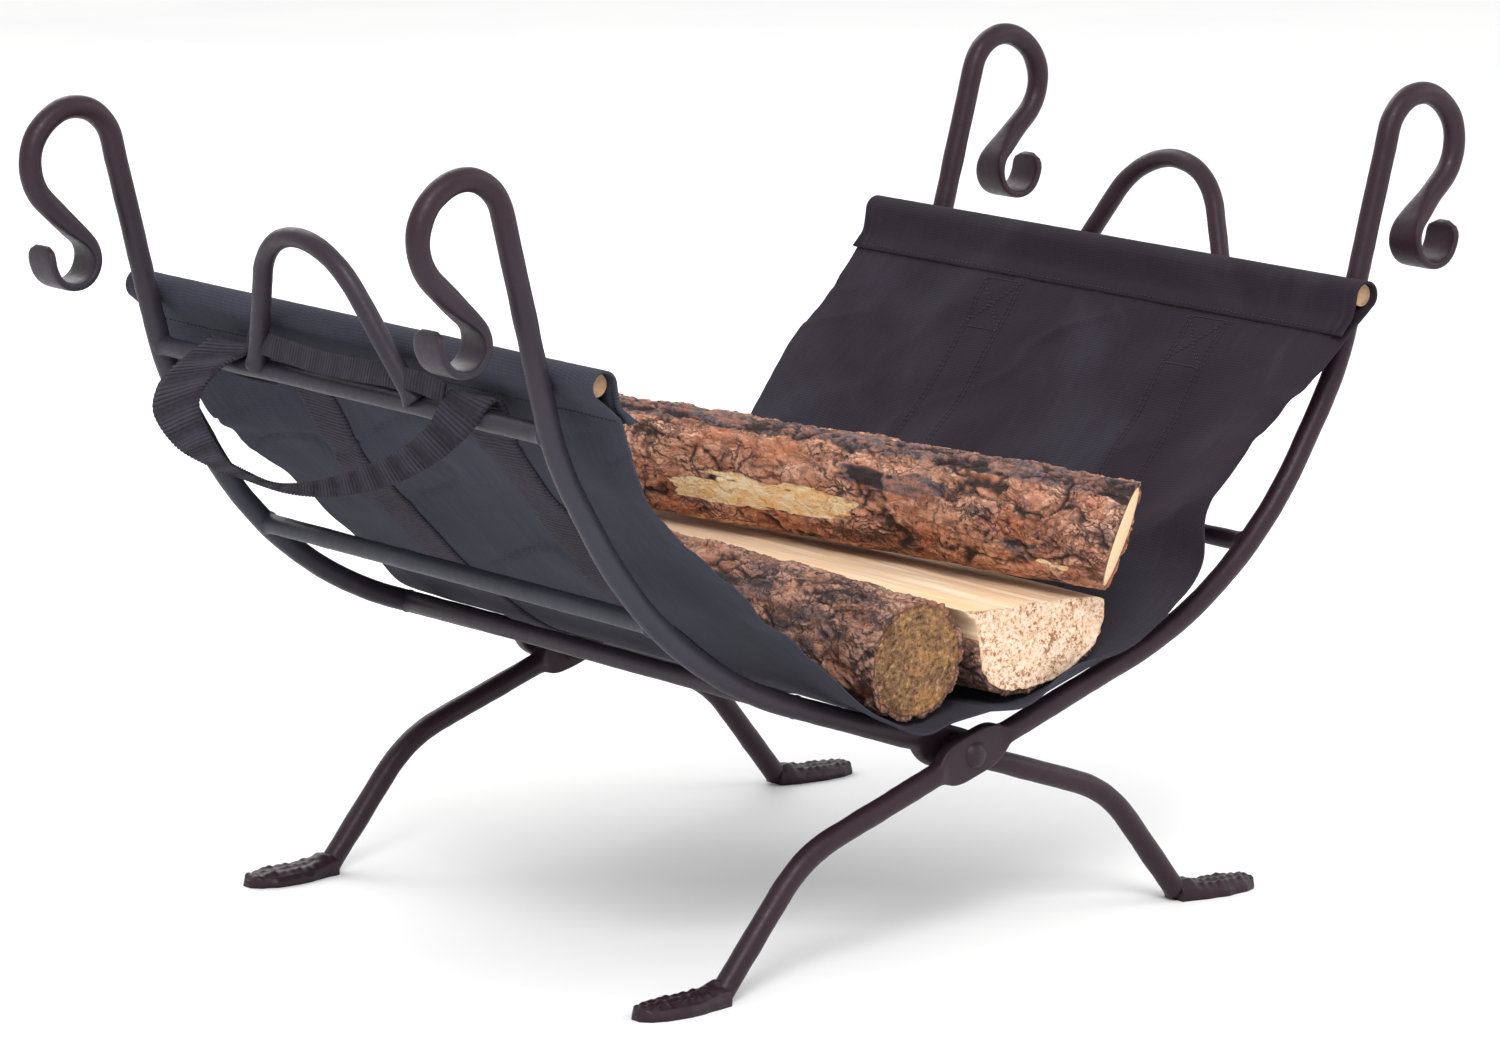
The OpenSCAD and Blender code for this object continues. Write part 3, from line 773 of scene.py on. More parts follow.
HEM_UP = np.array([0.55, 0.835])                 # (outward, up) from the stitch line to the dowel
HEM_RADIUS, HEM_GAP = 7.7, 1.1                   # of the loop round the dowel; of the cloth off its seam
BODY_STEPS, HEM_STEPS, WIDTH_STEPS = 130, 44, 150
CANVAS_FRONT, CANVAS_BACK = -203, 209
# Where along the logs each edge begins to curl away from the middle line: (low down, high up).
FRONT_CURL = {"left": (-20.0, -125), "right": (-110.0, -125)}
BACK_CURL = (190, 110)
HEM_PAST = {"left": (0, 12), "right": (10, 2)}   # how far each hem runs past the cloth's front and back
BAR_AT = 178            # a bar's distance along the logs from the middle of the canvas


def hem_line(dowel):
    """The stitch line, the loop round the dowel and the flap down the inside, as (outward, up)."""
    out = np.array([HEM_UP[1], -HEM_UP[0]])
    base = dowel - HEM_DROP * HEM_UP
    swing = np.radians(np.linspace(-24, 204, 26))
    loop = [dowel + HEM_RADIUS * (math.cos(a) * out + math.sin(a) * HEM_UP) for a in swing]
    down = [base - out * 1.2 - HEM_UP * d for d in (-6, 0, 3.2, 6.2)]
    return base + out * HEM_GAP, np.array(loop), np.array(down)


def edge_lift(side, out, y):
    """How far the front edge stands up on the right and droops beyond the bar on the left."""
    if side == "right":
        return 8 * np.exp(-((out - 60) / 24) ** 2) * smooth((-195.5 - y) / 7)
    return -3.5 * smooth((out - 30) / 25) * smooth((120 - out) / 50) * smooth((-177 - y) / 24)


def canvas_section(side, y):
    """Rows of (outward, up) points for each y, from the bottom to the end of the flap."""
    x, _, z = node_centre(f"{side}_dowel")
    base, loop, down = hem_line(np.array([abs(x), z - PIVOT_Z]))
    lines = {k: curve_through(v + (tuple(base),), BODY_STEPS) for k, v in CANVAS_LINES[side].items()}
    low = smooth((165 - lines["middle"][None, :, 0]) / 45)
    start = low * FRONT_CURL[side][0] + (1 - low) * FRONT_CURL[side][1]
    front = smooth((start - y[:, None]) / (start - CANVAS_FRONT))
    start = low * BACK_CURL[0] + (1 - low) * BACK_CURL[1]
    back = smooth((y[:, None] - start) / (CANVAS_BACK - start))
    shares = {"front": front, "middle": 1 - front - back, "back": back}
    body = sum(share[..., None] * lines[k][None] for k, share in shares.items())
    body[..., 1] += edge_lift(side, body[..., 0], y[:, None])
    hem = curve_through(np.vstack([base, loop, down]), HEM_STEPS + 1)[1:]
    hem = np.repeat(hem[None], len(y), 0)
    ends = np.exp(-(y - CANVAS_FRONT) / 7.0) + 0.5 * np.exp(-(CANVAS_BACK - y) / 7.0)
    drop = np.linspace(0, 1, HEM_STEPS)[None, :] ** 6
    flare = (ends[:, None] * drop * (1.6 + np.sin(y[:, None] * 1.1)))[..., None]
    hem = hem + flare * (-3.4 * np.array([HEM_UP[1], -HEM_UP[0]]) - 1.0 * HEM_UP)
    return np.concatenate([body, hem], 1)


def canvas_surface(side):
    """Grid of canvas points (rows across y), in millimetres, with folds and soft wrinkles."""
    sign = SIDES[side]
    edge = np.linspace(0, 1, WIDTH_STEPS)
    edge = 0.5 - 0.5 * np.cos(math.pi * edge) * (0.75 + 0.25 * np.abs(np.cos(math.pi * edge)))
    y = CANVAS_FRONT + (CANVAS_BACK - CANVAS_FRONT) * edge
    section = canvas_section(side, y)
    count = section.shape[1]
    steps = np.arange(count)
    tangent = unit(np.gradient(section, axis=1))
    normal = np.stack([tangent[..., 1], -tangent[..., 0]], -1)
    # free is 1 on the open cloth and 0 under the logs and at the hem.
    run = np.linspace(0, 1, BODY_STEPS)
    free = smooth((run - 0.36) / 0.2) * smooth((1.0 - run) / 0.10)
    free = np.concatenate([free, np.zeros(count - BODY_STEPS)])[None, :]
    flat = np.stack([np.broadcast_to(y[:, None], section.shape[:2]),
                     np.broadcast_to(steps[None] * 2.7, section.shape[:2]),
                     np.full(section.shape[:2], 50.0 * sign)], -1)
    # Broad slanting swells, sharper creases, and ripples along the front and back edges.
    skew = flat @ np.array([[1, 0.5, 0], [-0.7, 1, 0], [0, 0, 1]])
    swell = 3.4 * noise(skew, (95, 60, 60), 21) + 1.7 * noise(skew, (46, 28, 28), 25)
    ridge = 1 - np.abs(noise(skew + 9 * noise(flat, 60, 4)[..., None], (120, 30, 60), 31))
    swell = swell - 2.4 * np.clip(ridge - 0.8, 0, 1) * 5 * smooth(noise(flat, 90, 8) + 0.4)
    rim = np.exp(-(y - CANVAS_FRONT) / 16) + np.exp(-(CANVAS_BACK - y) / 16)
    drawn = flat * [0.2, 1, 1]
    ripple = rim[:, None] * (3.2 * noise(drawn, 21, 14) + 1.2 * noise(drawn, 10, 15))
    # The cloth hardly swells outward where a bar lies behind it.
    near_bar = np.exp(-((np.abs(y - 9.4) - BAR_AT) / 14) ** 2)[:, None]
    move = free * (swell + ripple)
    move = np.where(move > 0, move * (1 - 0.75 * near_bar), move)
    # Fine puckers are strongest along the hem's seam, and the cloth is drawn in just below it.
    pucker = 0.28 * noise(flat, (5, 9, 9), 17)
    seam = np.exp(-((steps - BODY_STEPS) / 9.0) ** 2)[None]
    move = move + pucker * (0.35 + 1.4 * seam) * np.minimum(1, steps / 20.0)
    pinch = np.exp(-((steps - BODY_STEPS + 16) / 12.0) ** 2)[None]
    sag = np.cos(np.pi * (y - 3) / 360)[:, None]
    move = move - 2.0 * pinch * sag * smooth(noise(flat, (70, 30, 30), 41) + 0.5)
    section = section + normal * move[..., None]
    # The cut edges wander, and the hem runs past them.
    hem = smooth((steps - BODY_STEPS * 0.72) / (BODY_STEPS * 0.28))[None]
    past_front, past_back = HEM_PAST[side]
    past = past_back * np.exp((y - CANVAS_BACK) / 22) - past_front * np.exp((CANVAS_FRONT - y) / 22)
    wander = rim[:, None] * 3.0 * noise(flat * [0, 1, 1], 34, 19) * free
    reach = y[:, None] + wander + hem * past[:, None]
    return np.stack([sign * section[..., 0], reach, PIVOT_Z + section[..., 1]], -1), y


def surface_frame(points):
    """Unit outward normal (away from the logs) at each grid point."""
    along = np.gradient(points, axis=1)
    across = np.gradient(points, axis=0)
    normal = unit(np.cross(along, across))
    under_the_logs = normal[:, 10:BODY_STEPS // 2, 2]
    return -normal if np.mean(under_the_logs) > 0 else normal


def run_of(points):
    """Distance of each grid point from the bottom, along the cloth."""
    steps = np.linalg.norm(np.diff(points, axis=1), axis=2)
    return np.concatenate([np.zeros((len(points), 1)), np.cumsum(steps, 1)], 1)


def thicken(piece, thickness):
    solid = piece.modifiers.new("cloth_thickness", "SOLIDIFY")
    solid.thickness, solid.offset, solid.use_even_offset = thickness, 0.0, True


def across_the_pivot(piece):
    """Bakes the piece's placement into its mesh."""
    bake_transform(piece)


CANVAS = {}             # for each side: its points, its rows' y, the normals and the distances up the cloth


def canvas_half(side, sizes):
    points, y = canvas_surface(side)
    CANVAS[side] = (points, y, surface_frame(points), run_of(points))
    run = CANVAS[side][3]
    piece = make(f"{side}_canvas", points, quads(*points.shape[:2]), finish_of("canvas"),
                 replaces=[f"{side}_canvas_panel"], closed=False)
    lay_uv(piece, np.stack([run, np.broadcast_to(y[:, None], run.shape)], -1))
    thicken(piece, sizes.canvas_thickness)
    across_the_pivot(piece)


def on_canvas(side, run, y, lift):
    """Points on the canvas at distances run from its bottom and y along the logs, lifted outward."""
    points, rows, normal, runs = CANVAS[side]
    run, y = np.broadcast_arrays(np.asarray(run, float), np.asarray(y, float))
    i = np.clip(np.searchsorted(rows, y) - 1, 0, len(rows) - 2)
    t = np.clip((y - rows[i]) / (rows[i + 1] - rows[i]), 0, 1)
    spacing = runs[len(runs) // 2]
    j = np.clip(np.searchsorted(spacing, run) - 1, 0, len(spacing) - 2)
    u = np.clip((run - spacing[j]) / (spacing[j + 1] - spacing[j]), 0, 1)

    def blend(grid):
        return ((1 - t)[..., None] * ((1 - u)[..., None] * grid[i, j] + u[..., None] * grid[i, j + 1])
                + t[..., None] * ((1 - u)[..., None] * grid[i + 1, j] + u[..., None] * grid[i + 1, j + 1]))

    return blend(points) + blend(normal) * np.asarray(lift, float)[..., None]


def body_run(side):
    """Distance from the bottom to the hem's stitch line."""
    runs = CANVAS[side][3]
    return float(runs[len(runs) // 2, BODY_STEPS - 1])


def strap_middles(side):
    """Where each sewn strap lies along the logs."""
    return {end: float(node_centre(f"{side}_{end}_strap")[1]) for end in ("front", "back")}


STRAP_START, STRAP_END = 34, 10     # from the bottom, and short of the hem's stitch line
STRAP_EDGE_LIFT, STRAP_UNDER = 1.6, 0.75


def sewn_strap(side, end, sizes):
    """A webbing strap sewn to the outside of the canvas."""
    y_mid, half = strap_middles(side)[end], sizes.webbing_width / MM / 2
    run = np.linspace(STRAP_START, body_run(side) - STRAP_END, 230)
    r, v = np.meshgrid(run, np.linspace(-half, half, 15), indexing="ij")
    edge = 1 - (np.abs(v) / half) ** 12
    lift = STRAP_EDGE_LIFT + 0.55 * sizes.webbing_thickness / MM * edge
    outer = on_canvas(side, r, y_mid + v, lift).reshape(-1, 3)
    inner = on_canvas(side, r, y_mid + v, np.full(r.shape, STRAP_UNDER)).reshape(-1, 3)
    piece = make(f"{side}_{end}_sewn_strap", np.vstack([outer, inner]), slab_faces(*r.shape),
                 finish_of("webbing"), replaces=[f"{side}_{end}_strap"])
    uv = np.stack([r, v], -1).reshape(-1, 2)
    lay_uv(piece, np.vstack([uv, uv]))
    across_the_pivot(piece)


STITCH_PITCH, STITCH_SHARE = 3.4, 0.72      # spacing, and how much of it each stitch covers


def stitch_row(side, start, end, lift):
    """The two ends of every stitch in a row between two (run, y) places on the canvas."""
    start, end = np.array(start, float), np.array(end, float)
    count = max(1, int(np.linalg.norm(end - start) / STITCH_PITCH))
    t = (np.arange(count) + 0.5) / count
    half = STITCH_SHARE / 2 / count
    a = start + (end - start) * (t - half)[:, None]
    b = start + (end - start) * (t + half)[:, None]
    return list(zip(on_canvas(side, a[:, 0], a[:, 1], np.full(count, lift)),
                    on_canvas(side, b[:, 0], b[:, 1], np.full(count, lift))))


def thread_mesh(pairs, radius):
    """Small five-sided spindles, one per stitch."""
    points, faces = [], []
    for p, q in pairs:
        along = unit(q - p)
        side = unit(np.cross(along, [0.3, 0.9, 0.2]))
        up = np.cross(along, side)
        base = len(points)
        points.append(p)
        for t in (0.25, 0.75):
            centre = p + (q - p) * t
            for k in range(5):
                a = 2 * math.pi * k / 5
                points.append(centre + radius * (math.cos(a) * side + math.sin(a) * up))
        points.append(q)
        for k in range(5):
            n = (k + 1) % 5
            faces.append([base, base + 1 + n, base + 1 + k])
            faces.append([base + 1 + k, base + 1 + n, base + 6 + n, base + 6 + k])
            faces.append([base + 6 + k, base + 6 + n, base + 11])
    return np.array(points), faces


def canvas_stitching(side, sizes):
    """Hem seam, strap seams and crossed boxes below the hem, seen on the inside."""
    top = body_run(side)
    pairs = []
    inside, outside = -0.85, 0.85
    flap = float(CANVAS[side][3][WIDTH_STEPS // 2, -1]) - 2.4
    for run in (flap, top - 1):
        pairs += stitch_row(side, (run, CANVAS_FRONT + 3), (run, CANVAS_BACK - 3), outside)
    half = sizes.webbing_width / MM / 2 - 2.2
    for middle in strap_middles(side).values():
        for edge in (-half, half, half - 3.0, 3.0 - half):
            pairs += stitch_row(side, (40, middle + edge), (top - 9, middle + edge), inside)
        high, low = top - 10, top - 44
        corners = [(high, middle - half), (high, middle + half), (low, middle + half), (low, middle - half)]
        for a, b in ((0, 1), (2, 3), (0, 2), (1, 3)):
            for nudge in (0, 1.6):
                shift = np.array([0, nudge])
                pairs += stitch_row(side, corners[a] + shift, corners[b] + shift, inside)
    points, faces = thread_mesh(pairs, sizes.thread_diameter / MM / 2)
    piece = make(f"{side}_stitching", points, faces, finish_of("thread"))
    across_the_pivot(piece)


# ---------------------------------------------------------------- webbing

# The two edges of the left-hand webbing handle, as (outward, towards the back, up) from the pivot:
# from inside the top rail at the back, over it, round the loop and back over it at the front.
HANDLE_EDGES = (
    ((259, 136, 190), (259, 98, 190)),
    ((264, 136, 204), (264, 98, 204)),
    ((272, 138, 213), (272, 97, 213)),
    ((281, 146, 204), (280, 97, 209)),
    ((291, 153, 194), (291, 103, 203)),
    ((299, 155, 184), (299, 112, 189)),
    ((303, 152, 170), (301, 112, 178)),
    ((304, 130, 156), (302, 101, 167)),
    ((303, 102, 150), (303, 84, 155)),
    ((302, 66, 147), (305, 58, 151)),
    ((301, 28, 145), (304, 34, 149)),
    ((300, -6, 148), (303, 4, 155)),
    ((299, -42, 156), (300, -36, 168)),
    ((296, -70, 166), (297, -66, 181)),
    ((291, -95, 180), (291, -84, 196)),
    ((285, -112, 196), (284, -85, 206)),
    ((273, -119, 213), (273, -81, 213)),
    ((264, -119, 204), (264, -81, 204)),
    ((259, -119, 190), (259, -81, 190)),
)
WEBBING_MIDDLE = 16                           # the loop's middle, towards the back
LOOP_SPREAD = {"left": 1.0, "right": 0.8}     # the right-hand webbing hangs gathered closer
WEBBING_COLUMNS = 9
LOOP_RIB, KEEPER_RIB = 0.42, 0.12             # height of the cross ribs
# The two edges of the flat strap that lies behind the foot of the arch.
KEEPER_EDGES = (
    ((280, 92, 225), (283, 92, 213)),
    ((282, 60, 223), (285, 60, 211)),
    ((283, 20, 221), (286, 20, 209)),
    ((283, -25, 222), (286, -25, 210)),
    ((282, -60, 222), (284, -60, 211)),
    ((279, -84, 218), (281, -84, 207)),
)


def ribbon(name, side, edges, rib, sizes, replaces):
    """Webbing between two guide edges, with cross ribs and real thickness."""
    cols = WEBBING_COLUMNS
    edges = np.array(edges, float)
    first, second = edges[:, 0], edges[:, 1]
    middle = curve_through((first + second) / 2, 500)
    length = float(np.linalg.norm(np.diff(middle, axis=0), axis=1).sum())
    count = int(length / (sizes.rib_pitch / MM / 6))
    a, b = curve_through(first, count), curve_through(second, count)
    v = np.linspace(0, 1, cols)[None, :, None]
    grid = a[:, None] * (1 - v) + b[:, None] * v
    tangent, width = np.gradient(grid, axis=0), np.broadcast_to((b - a)[:, None], grid.shape)
    normal = unit(np.cross(tangent, width))
    run = np.linspace(0, length, count)
    wave = rib * np.cos(2 * np.pi * run / (sizes.rib_pitch / MM))[:, None]
    cup = 0.9 * np.sin(np.linspace(0, math.pi, cols))[None] * noise(grid, 40, 6)
    edge_fade = (1 - np.abs(np.linspace(-1, 1, cols)) ** 8)[None] * 0.8 + 0.2
    grid = grid + normal * (wave * edge_fade + cup)[..., None]
    sign = SIDES[side]
    grid = (grid - [0, WEBBING_MIDDLE, 0]) * [1, LOOP_SPREAD[side], 1] + [0, WEBBING_MIDDLE, 0]
    place = grid * np.array([sign, -sign, 1]) + np.array([0, 0, PIVOT_Z])
    piece = make(name, place, quads(count, cols), finish_of("webbing"), f"{side}_frame",
                 replaces, closed=False)
    across = np.linspace(0, sizes.webbing_width / MM, cols)
    lay_uv(piece, np.stack(np.broadcast_arrays(run[:, None], across[None]), -1))
    thicken(piece, sizes.webbing_thickness)


# ---------------------------------------------------------------- logs

def log_grid(count_along, count_round, ends):
    """Distance along the axis and angle round it; ends gives both end planes as functions of angle."""
    theta = np.linspace(0, 2 * math.pi, count_round, endpoint=False)
    t = np.linspace(0, 1, count_along)
    start, stop = ends(theta, 1.0)
    w = start[None] + (stop - start)[None] * t[:, None]
    return w, np.broadcast_to(theta[None], w.shape)


def bark_relief(w, theta, radius, seed, old_mask, gone_mask, coarse=1.0):
    """Height of the bark and the numbers its material reads."""
    p = np.stack([w, radius * np.cos(theta), radius * np.sin(theta)], -1)
    # q is p pushed about by noise, so that no plate has straight sides.
    warp = np.stack([noise(p, 30, seed + k) for k in (40, 50, 60)], -1)
    q = p + 11 * warp + 4 * np.stack([noise(p, 9, seed + k) for k in (41, 51, 61)], -1)
    q = q + 1.4 * np.stack([noise(p, 3, seed + k) for k in (42, 52, 62)], -1)
    # Cracks between large plates and chips between small ones.
    inside, level = plates(q, np.array([52, 20, 20]) * coarse, seed)
    open_here = smooth(0.55 + 1.5 * noise(p, (26, 13, 13), seed + 19))
    crack = (1 - smooth(inside / (0.05 + 0.12 * open_here))) * open_here
    chips, _ = plates(q, np.array([21, 7, 7]) * coarse, seed + 7)
    chip_here = smooth(0.5 + 1.6 * noise(p, (30, 15, 15), seed + 27))
    chip = (1 - smooth(chips / 0.17)) * chip_here
    # Thin scales lie in steps, with a lip and a fissure at each edge.
    scales = layered(q, np.array([30, 11, 11]) * coarse, seed + 12, 4) * 6.5
    terrace = scales - np.floor(scales)
    lip = smooth((terrace - 0.86) / 0.08)
    flake = np.floor(scales) + lip
    split_here = smooth(0.5 + 1.6 * noise(p, (15, 8, 8), seed + 23))
    fissure = np.exp(-((terrace - 0.87) / 0.05) ** 2) * split_here
    # Ridged old bark takes over where old is set, and bare wood where gone is.
    ridge = 1 - np.abs(layered(q, (58, 8.5, 8.5), seed + 3))
    old = np.clip(old_mask + 0.5 * layered(p, (50, 13, 13), seed + 2), 0, 1)
    old = smooth((old - 0.38) / 0.22)
    gone = smooth((gone_mask + 0.6 * layered(p, (38, 7, 7), seed + 9) - 0.5) / 0.1)
    rough = 5.0 * (ridge - 0.8) + 0.8 * layered(q, (9, 4, 4), seed + 5)
    soft = 0.6 * flake + 0.6 * layered(q, (14, 6, 6), seed + 14)
    height = soft * (1 - old) + rough * old - 1.5 * crack - 0.6 * chip - 0.5 * fissure
    furrows = old * smooth((0.84 - ridge) / 0.16)
    # crevice, which the material darkens, marks cracks, fissures, furrows and chips: partly the bark's own
    # darker colour and partly painted shade.
    crevice = np.clip(np.max([crack, 0.9 * fissure, 0.9 * furrows, 0.8 * chip], axis=0), 0, 1)
    bare = -1.7 + 0.25 * layered(p, (60, 3.5, 3.5), seed + 15)
    height = height * (1 - gone) + bare * gone
    # The rim round each bare patch is darkened too, partly as the torn bark's edge and partly as painted
    # shade.
    rim = np.exp(-((gone - 0.3) / 0.2) ** 2) * (gone > 0.02)
    crevice = np.maximum(crevice * (1 - gone), 0.6 * rim)
    tone = 0.5 + 0.28 * (level - 0.5) + 0.07 * flake + 0.25 * noise(p, (24, 12, 12), seed + 31)
    return height, {"crack": crevice, "old": old * (1 - gone), "gone": gone, "plate": np.clip(tone, 0, 1)}


def placed(w, radius, theta, centre, axis):
    """Points of a log from its own axis: w along it to the front, angle from its right-hand side."""
    axis = np.array(axis, float)
    axis = axis / np.linalg.norm(axis)
    right = unit(np.array([-axis[1], axis[0], 0.0]))
    return (centre + w[..., None] * axis + (radius * np.cos(theta))[..., None] * right
            + (radius * np.sin(theta))[..., None] * np.cross(axis, right))


INNER_ROWS = 12         # rings of the bark's plain inner surface


def bark_tube(name, w, theta, outer, inner, centre, axis, values, finish, replaces):
    """Closed shell of bark between an outer surface and an inner one of radius inner."""
    rows, cols = w.shape
    count = rows * cols
    skin = placed(w, outer, theta, centre, axis).reshape(-1, 3)
    coarse = np.linspace(0, rows - 1, INNER_ROWS).astype(int)
    lining = np.full((INNER_ROWS, cols), inner)
    back = placed(w[coarse], lining, theta[coarse], centre, axis).reshape(-1, 3)
    faces = quads(rows, cols, wrap=True) + (np.array(quads(INNER_ROWS, cols, wrap=True)) + count).tolist()
    for a, b in ((0, count), ((rows - 1) * cols, count + (INNER_ROWS - 1) * cols)):
        faces += [[a + k, a + (k + 1) % cols, b + (k + 1) % cols, b + k] for k in range(cols)]
    piece = make(name, np.vstack([skin, back]), faces, finish, "logs", replaces)
    for key, value in values.items():
        tail = 0.4 if key == "crack" else 0.0
        give(piece, key, np.concatenate([value.ravel(), np.full(len(back), tail)]))


END_RINGS, SIDE_RINGS = 26, 6       # rings of points across a sawn end, and along the log between them


def wood_core(name, ends, radius, count_round, centre, axis, finish, replaces, roughness, seed):
    """Solid wood inside the bark, with both sawn ends modelled."""
    theta = np.linspace(0, 2 * math.pi, count_round, endpoint=False)
    spread = np.linspace(0.03, 1, END_RINGS)
    share = np.concatenate([spread, np.ones(SIDE_RINGS), np.linspace(1, 0.03, END_RINGS)])
    start, stop = (np.stack([ends(theta, s)[k] for s in share]) for k in (0, 1))
    between = np.linspace(0, 1, SIDE_RINGS + 2)[1:-1]
    mix = np.concatenate([np.zeros(END_RINGS), between, np.ones(END_RINGS)])[:, None]
    w = start * (1 - mix) + stop * mix
    r = share[:, None] * radius(theta)[None]
    t = np.broadcast_to(theta[None], w.shape)
    p = np.stack([w, r * np.cos(t), r * np.sin(t)], -1)
    w = w + roughness * (layered(p, 4.5, seed) + 0.6 * noise(p, (9, 1.8, 1.8), seed + 6))
    piece = make(name, placed(w, r, t, centre, axis), tube_faces(*w.shape), finish, "logs", replaces)
    give(piece, "ring", np.broadcast_to(share[:, None], w.shape))


TOP_LOG_SHIFT, TOP_LOG_SKEW, TOP_LOG_HALF = (3, 0, 0), 8.5, 228.0
TOP_CUT = (10.5, -0.49, 0.3)        # how far back the front cut is, and its slopes sideways and upward
TOP_KNOTS = ((118, 196, 9), (140, 183, 7), (66, 176, 7), (150, 205, 6))     # (along, degrees round, size)


def top_log():
    """Round log: orange bark, grey furrows on top, a bare patch, and a slanting clean cut at the front."""
    low, high = node_box("top_log_bark")
    centre = (low + high) / 2 + TOP_LOG_SHIFT
    skew = math.radians(TOP_LOG_SKEW)
    axis = (math.sin(skew), -math.cos(skew), 0.0)
    half, full = TOP_LOG_HALF, (high[2] - low[2]) / 2

    def ends(theta, share):
        r = share * full
        back_by, sideways, upward = TOP_CUT
        front = half - back_by + sideways * r * np.cos(theta) + upward * r * np.sin(theta)
        return -half + 2 + 3 * share * np.cos(theta - 1.0), front

    w, theta = log_grid(330, 170, ends)
    turn = np.degrees(theta)
    # Old grey bark in a strip along the top and two patches; bare wood in a long patch and a small one.
    lean = noise(np.stack([w, w * 0, w * 0], -1), 90, 3) * 14
    old = np.exp(-((turn + lean - 108) / 26) ** 2) * 0.95
    old = old + 0.55 * np.exp(-((turn + lean - 158) / 13) ** 2) * np.exp(-((w - 70) / 55) ** 2)
    old = old + 0.6 * np.exp(-((turn - 200) / 20) ** 2) * np.exp(-((w - 175) / 34) ** 2)
    gone = 0.92 * np.exp(-((turn - 191) / 20.0) ** 4) * np.exp(-((w + 22) / 74.0) ** 4)
    gone = gone + 0.7 * np.exp(-((turn - 212) / 9) ** 2) * np.exp(-((w - 190) / 26) ** 2)
    height, values = bark_relief(w, theta, full, 100, old, gone)
    swell = 0.7 * noise(np.stack([w, 30 * np.cos(theta), 30 * np.sin(theta)], -1), 70, 8)
    for at, angle, size in TOP_KNOTS:
        d2 = ((w - at) / size) ** 2 + ((turn - angle) * full * math.pi / 180 / size) ** 2
        swell = swell + 1.5 * np.exp(-d2) - 1.6 * np.exp(-d2 * 6)
        values["crack"] = np.clip(values["crack"] + 0.5 * np.exp(-(d2 - 1.2) ** 2 * 6), 0, 1)
    under = smooth((-np.sin(theta) - 0.75) / 0.25)
    outer = full - 1.6 + (height + swell) * (1 - 0.7 * under)
    outer = np.clip(outer, full - 4.3, full + 0.25 - 0.25 * under)
    bark_tube("top_log_flaking_bark", w, theta, outer, full - 5.4, centre, axis, values,
              finish_of("top_bark"), ["top_log_bark"])
    wood_core("top_log_sawn_wood", ends, lambda a: full - 4.7 + 0.2 * np.cos(3 * a), 120, centre, axis,
              finish_of("smooth"), ["top_log_wood"], 0.10, 7)


LOWER_LOG_SHIFT, LOWER_LOG_AXIS = (-2.5, 0, -2.2), (-0.008, -1, -0.0128)


def lower_log():
    """Round log with grey-brown bark and a rough weathered end."""
    low, high = node_box("lower_log_bark")
    centre, axis = (low + high) / 2 + LOWER_LOG_SHIFT, LOWER_LOG_AXIS
    half, full = (high[1] - low[1]) / 2 + 1, (high[2] - low[2]) / 2

    def ends(theta, share):
        tilt = 1.6 * share * np.cos(theta - 2.2)
        return -half + 1.5 + tilt, half - 2.2 + tilt

    w, theta = log_grid(270, 150, ends)
    turn = np.degrees(theta)
    old = 0.5 * np.exp(-((turn - 150) / 40) ** 2)

    def core_radius(theta):
        round_the_log = np.stack([np.cos(theta), np.sin(theta), theta * 0], -1) * full
        return full - 4.5 + 0.3 * noise(round_the_log, 14, 2)

    height, values = bark_relief(w, theta, full, 300, old, np.zeros_like(turn), 0.8)
    outer = np.clip(full - 1.4 + height, full - 4.1, full + 0.1)
    bark_tube("lower_log_furrowed_bark", w, theta, outer, full - 5.2, centre, axis, values,
              finish_of("low_bark"), ["lower_log_bark"])
    wood_core("lower_log_weathered_wood", ends, core_radius, 150, centre, axis, finish_of("weathered"),
              ["lower_log_wood"], 1.1, 17)


# Cross-section of the split log, (x, up) from the pivot: cleft on top, sapwood and bark below.
SPLIT_OUTLINE = ((-13, 82), (-5, 74), (-1, 62), (1, 48), (9, 37), (21, 31.5), (38, 32), (57, 37), (73, 43.5),
                 (85, 51.5), (90, 62), (90, 77), (68, 80), (45, 81.5), (22, 80.5), (4, 81))
SPLIT_LOW, SPLIT_HIGH = (-13.5, 31.2), (90.6, 82.0)     # the section's outermost limits
SPLIT_HEART = np.array([45.0, 60.0])
CAP_RINGS = 30


def split_cap(ring, sign, far, tear):
    """Rings that close one end of the split log with a coarse sawn face, from its rim inward."""
    rings = []
    for share in np.linspace(0.965, 0.03, CAP_RINGS):
        flat = ring.copy()
        flat[:, [0, 2]] = SPLIT_HEART + (ring[:, [0, 2]] - SPLIT_HEART) * share
        torn = 0.75 * layered(flat, 3.2, 71) + 0.5 * noise(flat, 1.5, 75) - 0.6
        flat[:, 1] = far + sign * torn * tear
        rings.append(flat)
    return np.array(rings)


